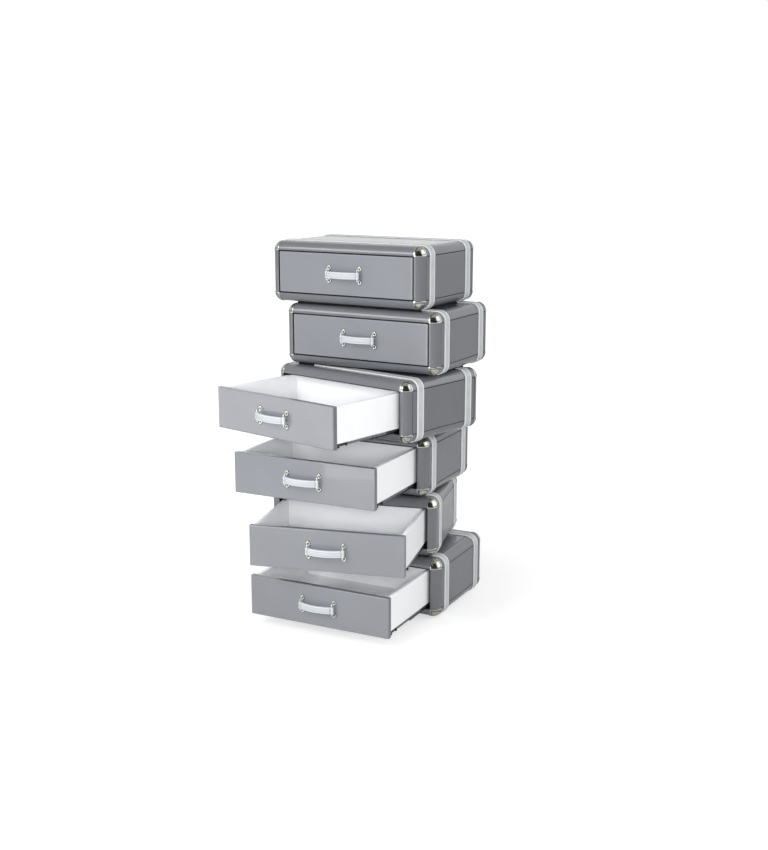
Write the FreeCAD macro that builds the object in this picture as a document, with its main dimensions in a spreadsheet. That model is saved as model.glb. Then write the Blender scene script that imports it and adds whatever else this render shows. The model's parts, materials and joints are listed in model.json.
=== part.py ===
import FreeCAD, Part
import math
import os
import Sketcher

# Chest on chest: six lacquered cases, like old suitcases, stacked with a twist. Each case holds one
# drawer that runs on a pair of full-extension undermount slides and is pulled by a leather grip.
#
# Units are millimetres and degrees. +Z is up, the drawers open towards -Y, and the origin is the
# middle of the bottom case's footprint on the floor. Every case, drawer, slide and handle is drawn
# once, about the centre of its case with the drawer shut, and is then placed in each of the six cases.

SIZES = (
    # name, value, what it is
    ("case_width", 630, "case, over its flat sides"),
    ("case_depth", 424, "case, front to back"),
    ("case_height", 220, "case, over its top and bottom panels"),
    ("edge_radius", 32, "quarter-round mouldings along all twelve edges"),
    ("panel_thickness", 16, "top, bottom and back panels"),
    ("seam_width", 1.6, "shadow line between a panel and the mouldings"),
    ("seam_depth", 2, "depth of that shadow line"),
    ("seat_gap", 0.2, "straps and corner caps to the rounded edges they hug"),
    ("cap_thickness", 2.6, "metal of a corner cap"),
    ("cap_reach", 0.8, "cap past the ball of the corner, along each edge"),
    ("strap_thickness", 3.8, "leather of a strap"),
    ("strap_width", 36, "strap, across"),
    ("strap_inset", 56, "front of the case to the strap's near edge"),
    ("strap_border", 9, "plain border of a strap outside its creased lines"),
    ("crease_width", 1.4, "creased line, across"),
    ("crease_depth", 0.8, "creased line, into the leather"),
    ("front_gap", 4, "drawer front to its opening, all round"),
    ("front_thickness", 18, "drawer front"),
    ("front_edge_radius", 2.5, "softened edges of the drawer front"),
    ("box_side_gap", 11, "drawer box to the side of the opening"),
    ("box_top_gap", 8.5, "drawer box below the top of the opening"),
    ("box_bottom_gap", 21.5, "drawer box above the bottom of the opening"),
    ("box_back_gap", 20, "drawer box, shut, in front of the back panel"),
    ("box_board", 13, "sides, front and back of the drawer box"),
    ("floor_thickness", 8, "drawer floor"),
    ("floor_recess", 13, "underside of the floor above the lower edge of the box"),
    ("groove_depth", 5, "groove that holds the edge of the floor"),
    ("rail_sheet", 1.5, "steel of the slide members"),
    ("rail_clearance", 0.3, "running clearance between slide members"),
    ("rail_width", 26, "slide, across"),
    ("rail_setback", 4, "slide members behind the back of the drawer front"),
    ("rail_end_gap", 21, "slide members in front of the back of the drawer box"),
    ("hood_drop", 7, "sides of the drawer member, below its top plate"),
    ("beam_height", 13.5, "middle member, an I-beam"),
    ("beam_web", 3, "web of the middle member"),
    ("trough_lip", 5, "lips of the cabinet member, above its base"),
    ("flange_rise", 19, "wall flange of the cabinet member, above its base"),
    ("latch_width", 16, "release latch of the drawer member"),
    ("latch_length", 42, "release latch, front to back"),
    ("latch_drop", 5, "release latch below the drawer member's top plate"),
    ("handle_span", 128, "between the two handle loops"),
    ("lug_spacing", 46, "between the upper and lower lug of a loop"),
    ("rod_diameter", 5, "round bar of a handle loop"),
    ("rod_standoff", 16, "middle of the bar in front of the drawer front"),
    ("rod_bend", 6, "bend of the bar, to its middle"),
    ("lug_width", 16, "lug, across"),
    ("lug_point", 12, "point of a lug beyond the middle of its bar"),
    ("lug_arch", 15, "radius of the two arcs that meet at the point"),
    ("lug_thickness", 2.6, "lug, from the drawer front"),
    ("lug_bevel", 0.9, "bevelled rim of a lug"),
    ("grip_height", 26, "leather grip, up and down"),
    ("grip_thickness", 11, "leather grip, front to back"),
    ("grip_bow", 14, "middle of the grip in front of its ends"),
    ("grip_rounding", 3, "rounded rims of the grip"),
    ("collar_diameter", 14, "leather collar round the bar, at each end of the grip"),
    ("collar_height", 28, "leather collar, up and down"),
    ("grip_bore_gap", 0.2, "grip around the bar, all round"),
    ("glide_height", 6, "floor glides under the bottom case"),
    ("glide_diameter", 18, "floor glides, between the straps and the front and back mouldings"),
    ("glide_inset", 46, "middle of a glide from the sides of the case"),
    ("pad_diameter", 34, "bonded pads between two cases"),
    ("pad_inset", 185, "middle of a pad from the side of the case"),
    ("pad_strap_gap", 75, "middle of a pad from the near edge of a strap"),
    ("case_1_sideways", 0, "bottom case, to the right (+) of the origin"),
    ("case_2_sideways", -56, "case 2"),
    ("case_3_sideways", -53, "case 3"),
    ("case_4_sideways", 4, "case 4"),
    ("case_5_sideways", 16, "case 5"),
    ("case_6_sideways", -39, "top case"),
    ("case_1_rearwards", 0, "bottom case, behind (+) or in front of (-) the origin"),
    ("case_2_rearwards", -57, "case 2"),
    ("case_3_rearwards", -12, "case 3"),
    ("case_4_rearwards", -84, "case 4"),
    ("case_5_rearwards", -25, "case 5"),
    ("case_6_rearwards", -27, "top case"),
    ("drawer_1_opening", 332, "how far the bottom drawer is drawn out"),
    ("drawer_2_opening", 338, "drawer 2"),
    ("drawer_3_opening", 332, "drawer 3"),
    ("drawer_4_opening", 332, "drawer 4"),
    ("drawer_5_opening", 0, "drawer 5"),
    ("drawer_6_opening", 0, "top drawer"),
)

# Degrees that each case is turned anticlockwise, seen from above.
TURNS = (
    ("case_1_turn", 0, "bottom case"),
    ("case_2_turn", 12.4, "case 2"),
    ("case_3_turn", 0.5, "case 3"),
    ("case_4_turn", -14, "case 4"),
    ("case_5_turn", -2.9, "case 5"),
    ("case_6_turn", -3.5, "top case"),
)
LEVELS = range(1, len(TURNS) + 1)

CASE_AXES = {"XY": "XY_Plane", "XZ": "XZ_Plane", "YZ": "YZ_Plane"}
LEFT_AND_RIGHT, FRONT_AND_BACK, TOP_AND_BOTTOM = "YZ", "XZ", "XY"
SIDES = (-1, 1)


class Formula:
    """A size worked out from the sheet: its expression for FreeCAD and its present number."""

    def __init__(self, text, number):
        self.text = text
        self.number = number

    @staticmethod
    def of(value):
        """Takes a plain number for a formula."""
        return value if isinstance(value, Formula) else Formula(repr(float(value)), float(value))

    def __add__(self, other):
        other = Formula.of(other)
        return Formula(f"({self.text} + {other.text})", self.number + other.number)

    def __sub__(self, other):
        other = Formula.of(other)
        return Formula(f"({self.text} - {other.text})", self.number - other.number)

    def __mul__(self, other):
        other = Formula.of(other)
        return Formula(f"({self.text} * {other.text})", self.number * other.number)

    def __truediv__(self, other):
        other = Formula.of(other)
        return Formula(f"({self.text} / {other.text})", self.number / other.number)

    def __neg__(self):
        return self * -1

    def __radd__(self, other):
        return Formula.of(other) + self

    def __rsub__(self, other):
        return Formula.of(other) - self

    def __rmul__(self, other):
        return Formula.of(other) * self

    def sine(self):
        """Sine of an angle in degrees."""
        return Formula(f"sin({self.text} * 1 deg)", math.sin(math.radians(self.number)))

    def cosine(self):
        """Cosine of an angle in degrees."""
        return Formula(f"cos({self.text} * 1 deg)", math.cos(math.radians(self.number)))


class Sheet:
    """The spreadsheet of driving dimensions: each alias reads as an attribute that is a formula."""

    def __init__(self, doc):
        self.page = doc.addObject("Spreadsheet::Sheet", "Sizes")
        self.rows = 0

    def add(self, name, number, meaning):
        """Writes one driving dimension on the next row."""
        self.rows += 1
        self.page.set(f"A{self.rows}", name)
        self.page.set(f"B{self.rows}", str(number))
        self.page.set(f"C{self.rows}", meaning)
        self.page.setAlias(f"B{self.rows}", name)
        setattr(self, name, Formula(f"Sizes.{name}", float(number)))


def bind(item, prop, formula):
    """Ties one property of a document object to the sheet."""
    item.setExpression(prop, Formula.of(formula).text)


def place(item, x, y, z):
    """Binds the three coordinates of an object's Placement."""
    for axis, formula in zip("xyz", (x, y, z)):
        bind(item, f"Placement.Base.{axis}", formula)


# ---------------------------------------------------------------- sketches and features

def new_body(doc, name):
    """A PartDesign body with its label."""
    body = doc.addObject("PartDesign::Body", name)
    body.Label = name
    return body


def origin_plane(body, axes):
    """One of the body's own origin planes."""
    return next(item for item in body.Origin.OriginFeatures if item.Role == CASE_AXES[axes])


def new_sketch(body, axes, name, offset=(0, 0, 0)):
    """A sketch on an origin plane of its body, moved by an offset in the sketch's own axes.

    On XY the sketch reads x, y and faces +Z; on XZ it reads x, z and faces -Y; on YZ it reads y, z
    and faces +X.
    """
    sketch = body.newObject("Sketcher::SketchObject", f"{body.Name}_{name}")
    sketch.AttachmentSupport = (origin_plane(body, axes), [""])
    sketch.MapMode = "FlatFace"
    for axis, formula in zip("xyz", offset):
        bind(sketch, f"AttachmentOffset.Base.{axis}", formula)
    return sketch


def pin(sketch, geometry, vertex, point):
    """Fixes a vertex of the sketch at a point given by two formulas."""
    for kind, formula in zip(("DistanceX", "DistanceY"), point):
        number = Formula.of(formula).number
        index = sketch.addConstraint(Sketcher.Constraint(kind, -1, 1, geometry, vertex, number))
        bind(sketch, f"Constraints[{index}]", formula)


def fix_radius(sketch, geometry, formula):
    """Fixes the radius of an arc or circle."""
    number = Formula.of(formula).number
    index = sketch.addConstraint(Sketcher.Constraint("Radius", geometry, number))
    bind(sketch, f"Constraints[{index}]", formula)


def vector(point):
    """A point of the sketch plane, from two formulas."""
    return FreeCAD.Vector(Formula.of(point[0]).number, Formula.of(point[1]).number, 0)


def short_arc(start, end, radius, side):
    """The shorter arc between two points, bulging to the left (1) or right (-1) of the way along.

    It is drawn anticlockwise, as a sketch keeps its arcs, so from the end if it bulges to the left.
    """
    chord = end - start
    to_centre = math.sqrt(max(radius * radius - chord.Length * chord.Length / 4, 0))
    left = FreeCAD.Vector(-chord.y, chord.x, 0).normalize()
    centre = (start + end) * 0.5 - left * (to_centre * side)
    first, last = (end, start) if side == 1 else (start, end)
    angles = [math.atan2(point.y - centre.y, point.x - centre.x) for point in (first, last)]
    if angles[1] < angles[0]:
        angles[1] += 2 * math.pi
    return Part.ArcOfCircle(Part.Circle(centre, FreeCAD.Vector(0, 0, 1), radius), *angles)


def draw(sketch, points, arcs=None, closed=True):
    """Draws straight edges and arcs from point to point.

    arcs maps an edge's number to (radius, side): the edge from that point to the next is then an arc
    that bulges to the left (1) or right (-1) of the way it runs.
    """
    arcs = arcs or {}
    count = len(points) if closed else len(points) - 1
    first = sketch.GeometryCount
    for edge in range(count):
        start, end = vector(points[edge]), vector(points[(edge + 1) % len(points)])
        if edge in arcs:
            radius, side = arcs[edge]
            sketch.addGeometry(short_arc(start, end, Formula.of(radius).number, side), False)
        else:
            sketch.addGeometry(Part.LineSegment(start, end), False)
    # Vertex 1 or 2 of each edge, where the way along it starts.
    starts = [2 if edge in arcs and arcs[edge][1] == 1 else 1 for edge in range(count)]
    for edge in range(count):
        if closed or edge + 1 < count:
            following = (edge + 1) % count
            ending = 3 - starts[edge]
            sketch.addConstraint(Sketcher.Constraint(
                "Coincident", first + edge, ending, first + following, starts[following]))
        pin(sketch, first + edge, starts[edge], points[edge])
    if not closed:
        pin(sketch, first + count - 1, 3 - starts[count - 1], points[-1])
    for edge, (radius, side) in arcs.items():
        fix_radius(sketch, first + edge, radius)


def draw_rectangle(sketch, low_x, high_x, low_y, high_y):
    """A rectangle by its four sides."""
    draw(sketch, [(low_x, low_y), (high_x, low_y), (high_x, high_y), (low_x, high_y)])


def draw_centred(sketch, width, height):
    """A rectangle about the sketch's origin."""
    draw_rectangle(sketch, -width / 2, width / 2, -height / 2, height / 2)


def draw_rounded(sketch, width, height, radius):
    """A rectangle about the sketch's origin with round corners."""
    x, y = width / 2, height / 2
    points = [(-x + radius, -y), (x - radius, -y), (x, -y + radius), (x, y - radius),
              (x - radius, y), (-x + radius, y), (-x, y - radius), (-x, -y + radius)]
    draw(sketch, points, {edge: (radius, -1) for edge in (1, 3, 5, 7)})


def draw_circle(sketch, centre, radius):
    """A circle about a point."""
    geometry = sketch.addGeometry(
        Part.Circle(vector(centre), FreeCAD.Vector(0, 0, 1), Formula.of(radius).number), False)
    pin(sketch, geometry, 3, centre)
    fix_radius(sketch, geometry, radius)


def finish_feature(body, feature):
    """Makes a feature the body's tip."""
    body.Tip = feature
    return feature


def pad(body, sketch, length, direction=1):
    """Pads a sketch along its facing (1), against it (-1) or by half each way (0)."""
    feature = body.newObject("PartDesign::Pad", f"{sketch.Name}_pad")
    feature.Profile = sketch
    if direction == 0:
        feature.SideType = "Symmetric"
    feature.Reversed = direction == -1
    bind(feature, "Length", length)
    return finish_feature(body, feature)


def pocket(body, sketch, length):
    """Cuts a sketch out of the body, by half of a length each way."""
    feature = body.newObject("PartDesign::Pocket", f"{sketch.Name}_pocket")
    feature.Profile = sketch
    feature.SideType = "Symmetric"
    bind(feature, "Length", length)
    return finish_feature(body, feature)


def mirror(body, axes):
    """Adds the mirror image of the whole body across one of its origin planes."""
    body.Document.recompute()
    feature = body.newObject("PartDesign::Mirrored", f"{body.Name}_mirror_{axes}")
    feature.TransformMode = "Whole shape"
    feature.MirrorPlane = (origin_plane(body, axes), [""])
    return finish_feature(body, feature)


def fillet(doc, body, radius, wanted, name="fillet"):
    """Rounds the edges of the body's tip that a test picks."""
    return dress(doc, body, "PartDesign::Fillet", "Radius", radius, wanted, name)


def chamfer(doc, body, size, wanted, name="chamfer"):
    """Bevels the edges of the body's tip that a test picks."""
    return dress(doc, body, "PartDesign::Chamfer", "Size", size, wanted, name)


def dress(doc, body, kind, prop, formula, wanted, name):
    """Adds a fillet or chamfer on the picked edges of the body's tip."""
    doc.recompute()
    base = body.Tip
    picked = [f"Edge{i}" for i, edge in enumerate(base.Shape.Edges, 1) if wanted(edge)]
    feature = body.newObject(kind, f"{body.Name}_{name}")
    feature.Base = (base, picked)
    bind(feature, prop, formula)
    return finish_feature(body, feature)


def board(doc, name, lengths, corner):
    """A plain rectangular board, from its three lengths and its lowest corner."""
    item = doc.addObject("Part::Box", name)
    item.Label = name
    for prop, formula in zip(("Length", "Width", "Height"), lengths):
        bind(item, prop, formula)
    place(item, *corner)
    return item


def grooved_board(doc, name, lengths, corner, groove_lengths, groove_corner):
    """A board with one straight groove cut in it."""
    item = doc.addObject("Part::Cut", name)
    item.Label = name
    item.Base = board(doc, f"{name}_blank", lengths, corner)
    item.Tool = board(doc, f"{name}_groove", groove_lengths, groove_corner)
    return item


# ---------------------------------------------------------------- cases

def clear_spans(s):
    """Width, depth and height of a case between its mouldings."""
    return (s.case_width - 2 * s.edge_radius, s.case_depth - 2 * s.edge_radius,
            s.case_height - 2 * s.edge_radius)


def rounded_block(doc, s):
    """A block of the case's size with all its edges rounded, from which the mouldings are cut."""
    body = new_body(doc, "rounded_block")
    block = new_sketch(body, "XY", "block")
    draw_centred(block, s.case_width, s.case_depth)
    pad(body, block, s.case_height, direction=0)
    fillet(doc, body, s.edge_radius, lambda edge: True)
    return body


def mouldings(doc, s):
    """The twelve quarter-round mouldings: four corner posts with domed ends, and bars between them."""
    block = rounded_block(doc, s)
    width, depth, height = clear_spans(s)
    bar = s.edge_radius

    def edges(clear):
        """Lowest coordinate of the mouldings on either side of a clear span."""
        return (-clear / 2 - bar, clear / 2)

    rows = (
        ("post", (bar, bar, s.case_height), [(x, y, -s.case_height / 2)
                                             for x in edges(width) for y in edges(depth)]),
        ("side_bar", (bar, depth, bar), [(x, -depth / 2, z) for x in edges(width) for z in edges(height)]),
        ("cross_bar", (width, bar, bar), [(-width / 2, y, z) for y in edges(depth) for z in edges(height)]),
    )
    pieces = []
    for name, lengths, corners in rows:
        for number, corner in enumerate(corners, 1):
            piece = doc.addObject("Part::Common", f"{name}_{number}")
            piece.Label = piece.Name
            piece.Base = block
            piece.Tool = board(doc, f"{name}_{number}_span", lengths, corner)
            pieces.append(piece)
    return pieces


def case_panel(doc, s, name, axes, outside, spans, facing, thickness):
    """A panel let into its window: the outer skin stands back by the seam all round.

    outside is the distance of its outer face from the middle of the case, facing the side of the
    plane that it lies on.
    """
    body = new_body(doc, name)
    width, height = spans
    core = new_sketch(body, axes, "core", (0, 0, facing * (outside - thickness)))
    draw_centred(core, width, height)
    pad(body, core, thickness - s.seam_depth, facing)
    skin = new_sketch(body, axes, "skin", (0, 0, facing * (outside - s.seam_depth)))
    draw_centred(skin, width - 2 * s.seam_width, height - 2 * s.seam_width)
    pad(body, skin, s.seam_depth, facing)
    return body


def case_panels(doc, s):
    """Top, bottom, two sides and the back. The sides are as deep as the mouldings, for the slides."""
    width, depth, height = clear_spans(s)
    flat, side, rear = (width, depth), (depth, height), (width, height)
    return [
        case_panel(doc, s, "top_panel", "XY", s.case_height / 2, flat, 1, s.panel_thickness),
        case_panel(doc, s, "bottom_panel", "XY", s.case_height / 2, flat, -1, s.panel_thickness),
        case_panel(doc, s, "right_panel", "YZ", s.case_width / 2, side, 1, s.edge_radius),
        case_panel(doc, s, "left_panel", "YZ", s.case_width / 2, side, -1, s.edge_radius),
        case_panel(doc, s, "back_panel", "XZ", s.case_depth / 2, rear, -1, s.panel_thickness),
    ]


def corner_caps(doc, s):
    """Eight metal caps: an eighth of a ball over each corner, with a short sleeve along each edge."""
    body = new_body(doc, "caps")
    inner = s.edge_radius + s.seat_gap
    outer = inner + s.cap_thickness
    centre_x = s.case_width / 2 - s.edge_radius
    centre_y = s.case_depth / 2 - s.edge_radius
    centre_z = s.case_height / 2 - s.edge_radius

    def quarter(axes, name, offset, sign_x):
        """A quarter of a ring about the centre of the ball, in one plane."""
        sketch = new_sketch(body, axes, name, offset)
        points = [(inner * sign_x, 0), (outer * sign_x, 0), (0, outer), (0, inner)]
        draw(sketch, points, {1: (outer, -sign_x), 3: (inner, sign_x)})
        return sketch

    front = quarter("XZ", "front_ring", (centre_x, centre_z, centre_y), 1)
    ball = body.newObject("PartDesign::Revolution", "caps_ball")
    ball.Profile = front
    ball.ReferenceAxis = (front, ["V_Axis"])
    ball.Angle = 90
    ball.Reversed = True
    finish_feature(body, ball)
    pad(body, front, s.cap_reach, -1)
    side = quarter("YZ", "side_ring", (-centre_y, centre_z, centre_x), -1)
    pad(body, side, s.cap_reach, -1)
    flat = new_sketch(body, "XY", "flat_ring", (centre_x, -centre_y, centre_z))
    draw(flat, [(inner, 0), (outer, 0), (0, -outer), (0, -inner)], {1: (outer, 1), 3: (inner, -1)})
    pad(body, flat, s.cap_reach, -1)
    for axes in (LEFT_AND_RIGHT, FRONT_AND_BACK, TOP_AND_BOTTOM):
        mirror(body, axes)
    return body


def straps(doc, s):
    """Two leather straps round the case, each with two creased lines along it."""
    body = new_body(doc, "strap_pair")
    near = s.case_depth / 2 - s.strap_inset
    root = s.seat_gap + s.strap_thickness - s.crease_depth
    face = s.seat_gap + s.strap_thickness
    middle = s.strap_width - 2 * (s.strap_border + s.crease_width)
    layers = (
        ("hide", 0, s.strap_width, s.seat_gap, root),
        ("front_border", 0, s.strap_border, root, face),
        ("raised_middle", s.strap_border + s.crease_width, middle, root, face),
        ("rear_border", s.strap_width - s.strap_border, s.strap_border, root, face),
    )
    for name, start, width, low, high in layers:
        loop = new_sketch(body, "XZ", name, (0, 0, near - start))
        for lift in (high, low):
            draw_rounded(loop, s.case_width + 2 * lift, s.case_height + 2 * lift, s.edge_radius + lift)
        pad(body, loop, width, -1)
    mirror(body, FRONT_AND_BACK)
    return body


# ---------------------------------------------------------------- drawers

def drawer_front(doc, s):
    """The drawer front, flush with the mouldings and with softened edges."""
    body = new_body(doc, "front_board")
    width = s.case_width - 2 * (s.edge_radius + s.front_gap)
    height = s.case_height - 2 * (s.edge_radius + s.front_gap)
    face = new_sketch(body, "XZ", "face", (0, 0, s.case_depth / 2 - s.front_thickness))
    draw_centred(face, width, height)
    pad(body, face, s.front_thickness)
    doc.recompute()
    rear = body.Tip.Shape.BoundBox.YMax
    fillet(doc, body, s.front_edge_radius, lambda edge: edge.BoundBox.YMin < rear - 1)
    return body


def drawer_box(doc, s):
    """Sides, inner front, back and a floor let into grooves."""
    outer_width = s.case_width - 2 * (s.edge_radius + s.box_side_gap)
    inner_width = outer_width - 2 * s.box_board
    length = box_length(s)
    inner_length = length - 2 * s.box_board
    height = s.case_height - 2 * s.edge_radius - s.box_top_gap - s.box_bottom_gap
    base = box_base(s)
    start = box_start(s)
    groove_base = base + s.floor_recess
    pieces = []
    for name, side in (("left", -1), ("right", 1)):
        edge = side * outer_width / 2 - (s.box_board if side == 1 else 0)
        slot = side * inner_width / 2 - (s.groove_depth if side == -1 else 0)
        pieces.append(grooved_board(
            doc, f"box_{name}", (s.box_board, length, height), (edge, start, base),
            (s.groove_depth, length, s.floor_thickness), (slot, start, groove_base)))
    ends = (("inner_front", start, start + s.box_board - s.groove_depth),
            ("back", start + length - s.box_board, start + length - s.box_board))
    for name, edge, slot in ends:
        pieces.append(grooved_board(
            doc, f"box_{name}", (inner_width, s.box_board, height), (-inner_width / 2, edge, base),
            (inner_width, s.groove_depth, s.floor_thickness), (-inner_width / 2, slot, groove_base)))
    pieces.append(board(
        doc, "box_floor",
        (inner_width + 2 * s.groove_depth, inner_length + 2 * s.groove_depth, s.floor_thickness),
        (-inner_width / 2 - s.groove_depth, start + s.box_board - s.groove_depth, groove_base)))
    return pieces


def box_base(s):
    """Height of the drawer box's lower edge."""
    return -s.case_height / 2 + s.edge_radius + s.box_bottom_gap


def box_start(s):
    """Back of the drawer front, where the drawer box starts."""
    return -s.case_depth / 2 + s.front_thickness


def box_length(s):
    """Drawer box, from the back of the drawer front to its gap before the back panel."""
    return s.case_depth - s.front_thickness - s.panel_thickness - s.box_back_gap


def grip(doc, s):
    """The leather grip: bowed outwards in plan, with a collar round the bar at each end."""
    body = new_body(doc, "grip")
    half = s.handle_span / 2
    bow = (half * half + s.grip_bow * s.grip_bow) / (2 * s.grip_bow)
    rod_y = -s.case_depth / 2 - s.rod_standoff
    run = s.grip_thickness / 2
    # From the centre of the bow, the bar at each end lies half to the side and this far forwards.
    forward = bow - s.grip_bow
    shift_x, shift_y = run * half / bow, run * forward / bow
    band = new_sketch(body, "XY", "band", (0, rod_y, 0))
    points = [(-half - shift_x, -shift_y), (half + shift_x, -shift_y),
              (half - shift_x, shift_y), (-half + shift_x, shift_y)]
    draw(band, points, {0: (bow + run, -1), 2: (bow - run, 1)})
    pad(body, band, s.grip_height, direction=0)

    def rims(height):
        """A test for the level arcs at the top and bottom of a height."""
        return lambda edge: (edge.Curve.TypeId == "Part::GeomCircle" and edge.BoundBox.ZLength < 0.01
                             and abs(abs(edge.BoundBox.ZMin) - height.number / 2) < 0.01)

    fillet(doc, body, s.grip_rounding, rims(s.grip_height), "grip_rims")
    collars, bores = (new_sketch(body, "XY", name, (0, rod_y, 0)) for name in ("collars", "bores"))
    for side in SIDES:
        draw_circle(collars, (side * half, 0), s.collar_diameter / 2)
        draw_circle(bores, (side * half, 0), s.rod_diameter / 2 + s.grip_bore_gap)
    pad(body, collars, s.collar_height, direction=0)
    fillet(doc, body, s.grip_rounding, rims(s.collar_height), "collar_rims")
    pocket(body, bores, s.collar_height)
    return body


def handle_loops(doc, s):
    """Two loops of round bar, each on an upper and a lower pointed lug."""
    body = new_body(doc, "loops")
    front = s.case_depth / 2
    half_span = s.handle_span / 2
    top = s.lug_spacing / 2
    out = -s.rod_standoff
    path = new_sketch(body, "YZ", "path", (-front, 0, half_span))
    points = [(0, top), (out + s.rod_bend, top), (out, top - s.rod_bend),
              (out, -top + s.rod_bend), (out + s.rod_bend, -top), (0, -top)]
    draw(path, points, {1: (s.rod_bend, -1), 3: (s.rod_bend, -1)}, closed=False)
    section = new_sketch(body, "XZ", "section", (half_span, top, front))
    draw_circle(section, (0, 0), s.rod_diameter / 2)
    bar = body.newObject("PartDesign::AdditivePipe", "loops_bar")
    bar.Profile = section
    bar.Spine = (path, [""])
    finish_feature(body, bar)
    rear = front + s.lug_thickness
    for name, side in (("upper", 1), ("lower", -1)):
        lug = new_sketch(body, "XZ", f"{name}_lug", (half_span, side * top, front))
        half = s.lug_width / 2
        points = [(-half, 0), (0, -side * half), (half, 0), (0, side * s.lug_point)]
        arcs = {0: (half, -side), 1: (half, -side), 2: (s.lug_arch, -side), 3: (s.lug_arch, -side)}
        draw(lug, points, arcs)
        pad(body, lug, s.lug_thickness)
    doc.recompute()
    rim = -rear.number
    bar_radius = s.rod_diameter.number / 2

    def outer_rim(edge):
        """Edges of the lugs' faces, without the foot of the bar."""
        box = edge.BoundBox
        round_bar = edge.Curve.TypeId == "Part::GeomCircle" and abs(edge.Curve.Radius - bar_radius) < 0.01
        return abs(box.YMin - rim) < 0.01 and box.YLength < 0.01 and not round_bar

    chamfer(doc, body, s.lug_bevel, outer_rim)
    mirror(body, LEFT_AND_RIGHT)
    return body


# ---------------------------------------------------------------- slides

def slide_member(doc, s, name, points):
    """A slide member on each side: a section in x and z, run along the drawer box."""
    body = new_body(doc, name)
    section = new_sketch(body, "XZ", "section", (0, 0, -(box_start(s) + s.rail_setback)))
    draw(section, points)
    pad(body, section, box_length(s) - s.rail_setback - s.rail_end_gap, -1)
    mirror(body, LEFT_AND_RIGHT)
    return body


def rail_sides(s):
    """The slide's outer and inner edge, under the side of the drawer box."""
    outer = s.case_width / 2 - s.edge_radius - s.box_side_gap
    return outer, outer - s.rail_width


def drawer_rail(doc, s):
    """Drawer member: a hood under the box's side, with a release latch behind the inner front."""
    outer, inner = rail_sides(s)
    top = box_base(s)
    under = top - s.rail_sheet
    foot = under - s.hood_drop
    points = [(inner, foot), (inner + s.rail_sheet, foot), (inner + s.rail_sheet, under),
              (outer - s.rail_sheet, under), (outer - s.rail_sheet, foot), (outer, foot),
              (outer, top), (inner, top)]
    hood = slide_member(doc, s, "drawer_rail", points)
    latch = new_body(doc, "latch")
    block = new_sketch(latch, "XZ", "block", (0, 0, -(box_start(s) + s.box_board)))
    draw_rectangle(block, inner - s.latch_width, inner, under - s.latch_drop, top + s.floor_recess)
    pad(latch, block, s.latch_length, -1)
    mirror(latch, LEFT_AND_RIGHT)
    return [hood, latch]


def beam_top(s):
    """Top of the middle member, under the hood."""
    return box_base(s) - s.rail_sheet - s.rail_clearance


def middle_rail(doc, s):
    """Middle member: an I-beam that the hood rides on."""
    outer, inner = rail_sides(s)
    play = s.rail_sheet + s.rail_clearance
    left, right = inner + play, outer - play
    web_left = (left + right) / 2 - s.beam_web / 2
    web_right = web_left + s.beam_web
    top = beam_top(s)
    foot = top - s.beam_height
    points = [(left, foot), (right, foot), (right, foot + s.rail_sheet), (web_right, foot + s.rail_sheet),
              (web_right, top - s.rail_sheet), (right, top - s.rail_sheet), (right, top), (left, top),
              (left, top - s.rail_sheet), (web_left, top - s.rail_sheet),
              (web_left, foot + s.rail_sheet), (left, foot + s.rail_sheet)]
    return slide_member(doc, s, "middle_rail", points)


def cabinet_rail(doc, s, name):
    """Cabinet member: a trough for the I-beam with a flange against the side panel."""
    outer, inner = rail_sides(s)
    wall = s.case_width / 2 - s.edge_radius
    base = beam_top(s) - s.beam_height - s.rail_clearance
    lip = base + s.trough_lip
    points = [(inner, lip), (inner + s.rail_sheet, lip), (inner + s.rail_sheet, base),
              (outer - s.rail_sheet, base), (outer - s.rail_sheet, lip), (outer, lip), (outer, base),
              (wall - s.rail_sheet, base), (wall - s.rail_sheet, base + s.flange_rise),
              (wall, base + s.flange_rise), (wall, base - s.rail_sheet), (inner, base - s.rail_sheet)]
    return slide_member(doc, s, name, points)


# ---------------------------------------------------------------- feet and pads

def four_discs(doc, name, spacing_x, spacing_y, diameter, thickness):
    """Four round discs in a rectangle, standing on the body's XY plane."""
    body = new_body(doc, name)
    disc = new_sketch(body, "XY", "disc")
    draw_circle(disc, (spacing_x / 2, spacing_y / 2), diameter / 2)
    pad(body, disc, thickness)
    for axes in (LEFT_AND_RIGHT, FRONT_AND_BACK):
        mirror(body, axes)
    return body


# ---------------------------------------------------------------- the stack

class Level:
    """One case of the stack: where it stands, and where its drawer and slides are at rest."""

    def __init__(self, s, number):
        self.number = number
        self.x, self.y, self.turn = (
            getattr(s, f"case_{number}_{name}") for name in ("sideways", "rearwards", "turn"))
        self.opening = getattr(s, f"drawer_{number}_opening")
        pitch = s.case_height + 2 * (s.seat_gap + s.strap_thickness)
        self.z = s.glide_height + s.case_height / 2 + (number - 1) * pitch
        self.top = self.z + s.case_height / 2

    def place(self, item, drawn=0):
        """Places an item in this case, with a part of the drawer's opening drawn out."""
        reach = self.opening * drawn
        place(item, self.x + reach * self.turn.sine(), self.y - reach * self.turn.cosine(), self.z)
        turn(item, self.turn)


def turn(item, angle):
    """Binds the turn of an object about the vertical."""
    item.Placement.Rotation = FreeCAD.Rotation(FreeCAD.Vector(0, 0, 1), 1)
    bind(item, "Placement.Rotation.Angle", angle)


def group(doc, label, pieces):
    """A sub-part of one or more solids."""
    item = doc.addObject("Part::Compound", label)
    item.Label = label
    item.Links = pieces
    return item


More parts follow.
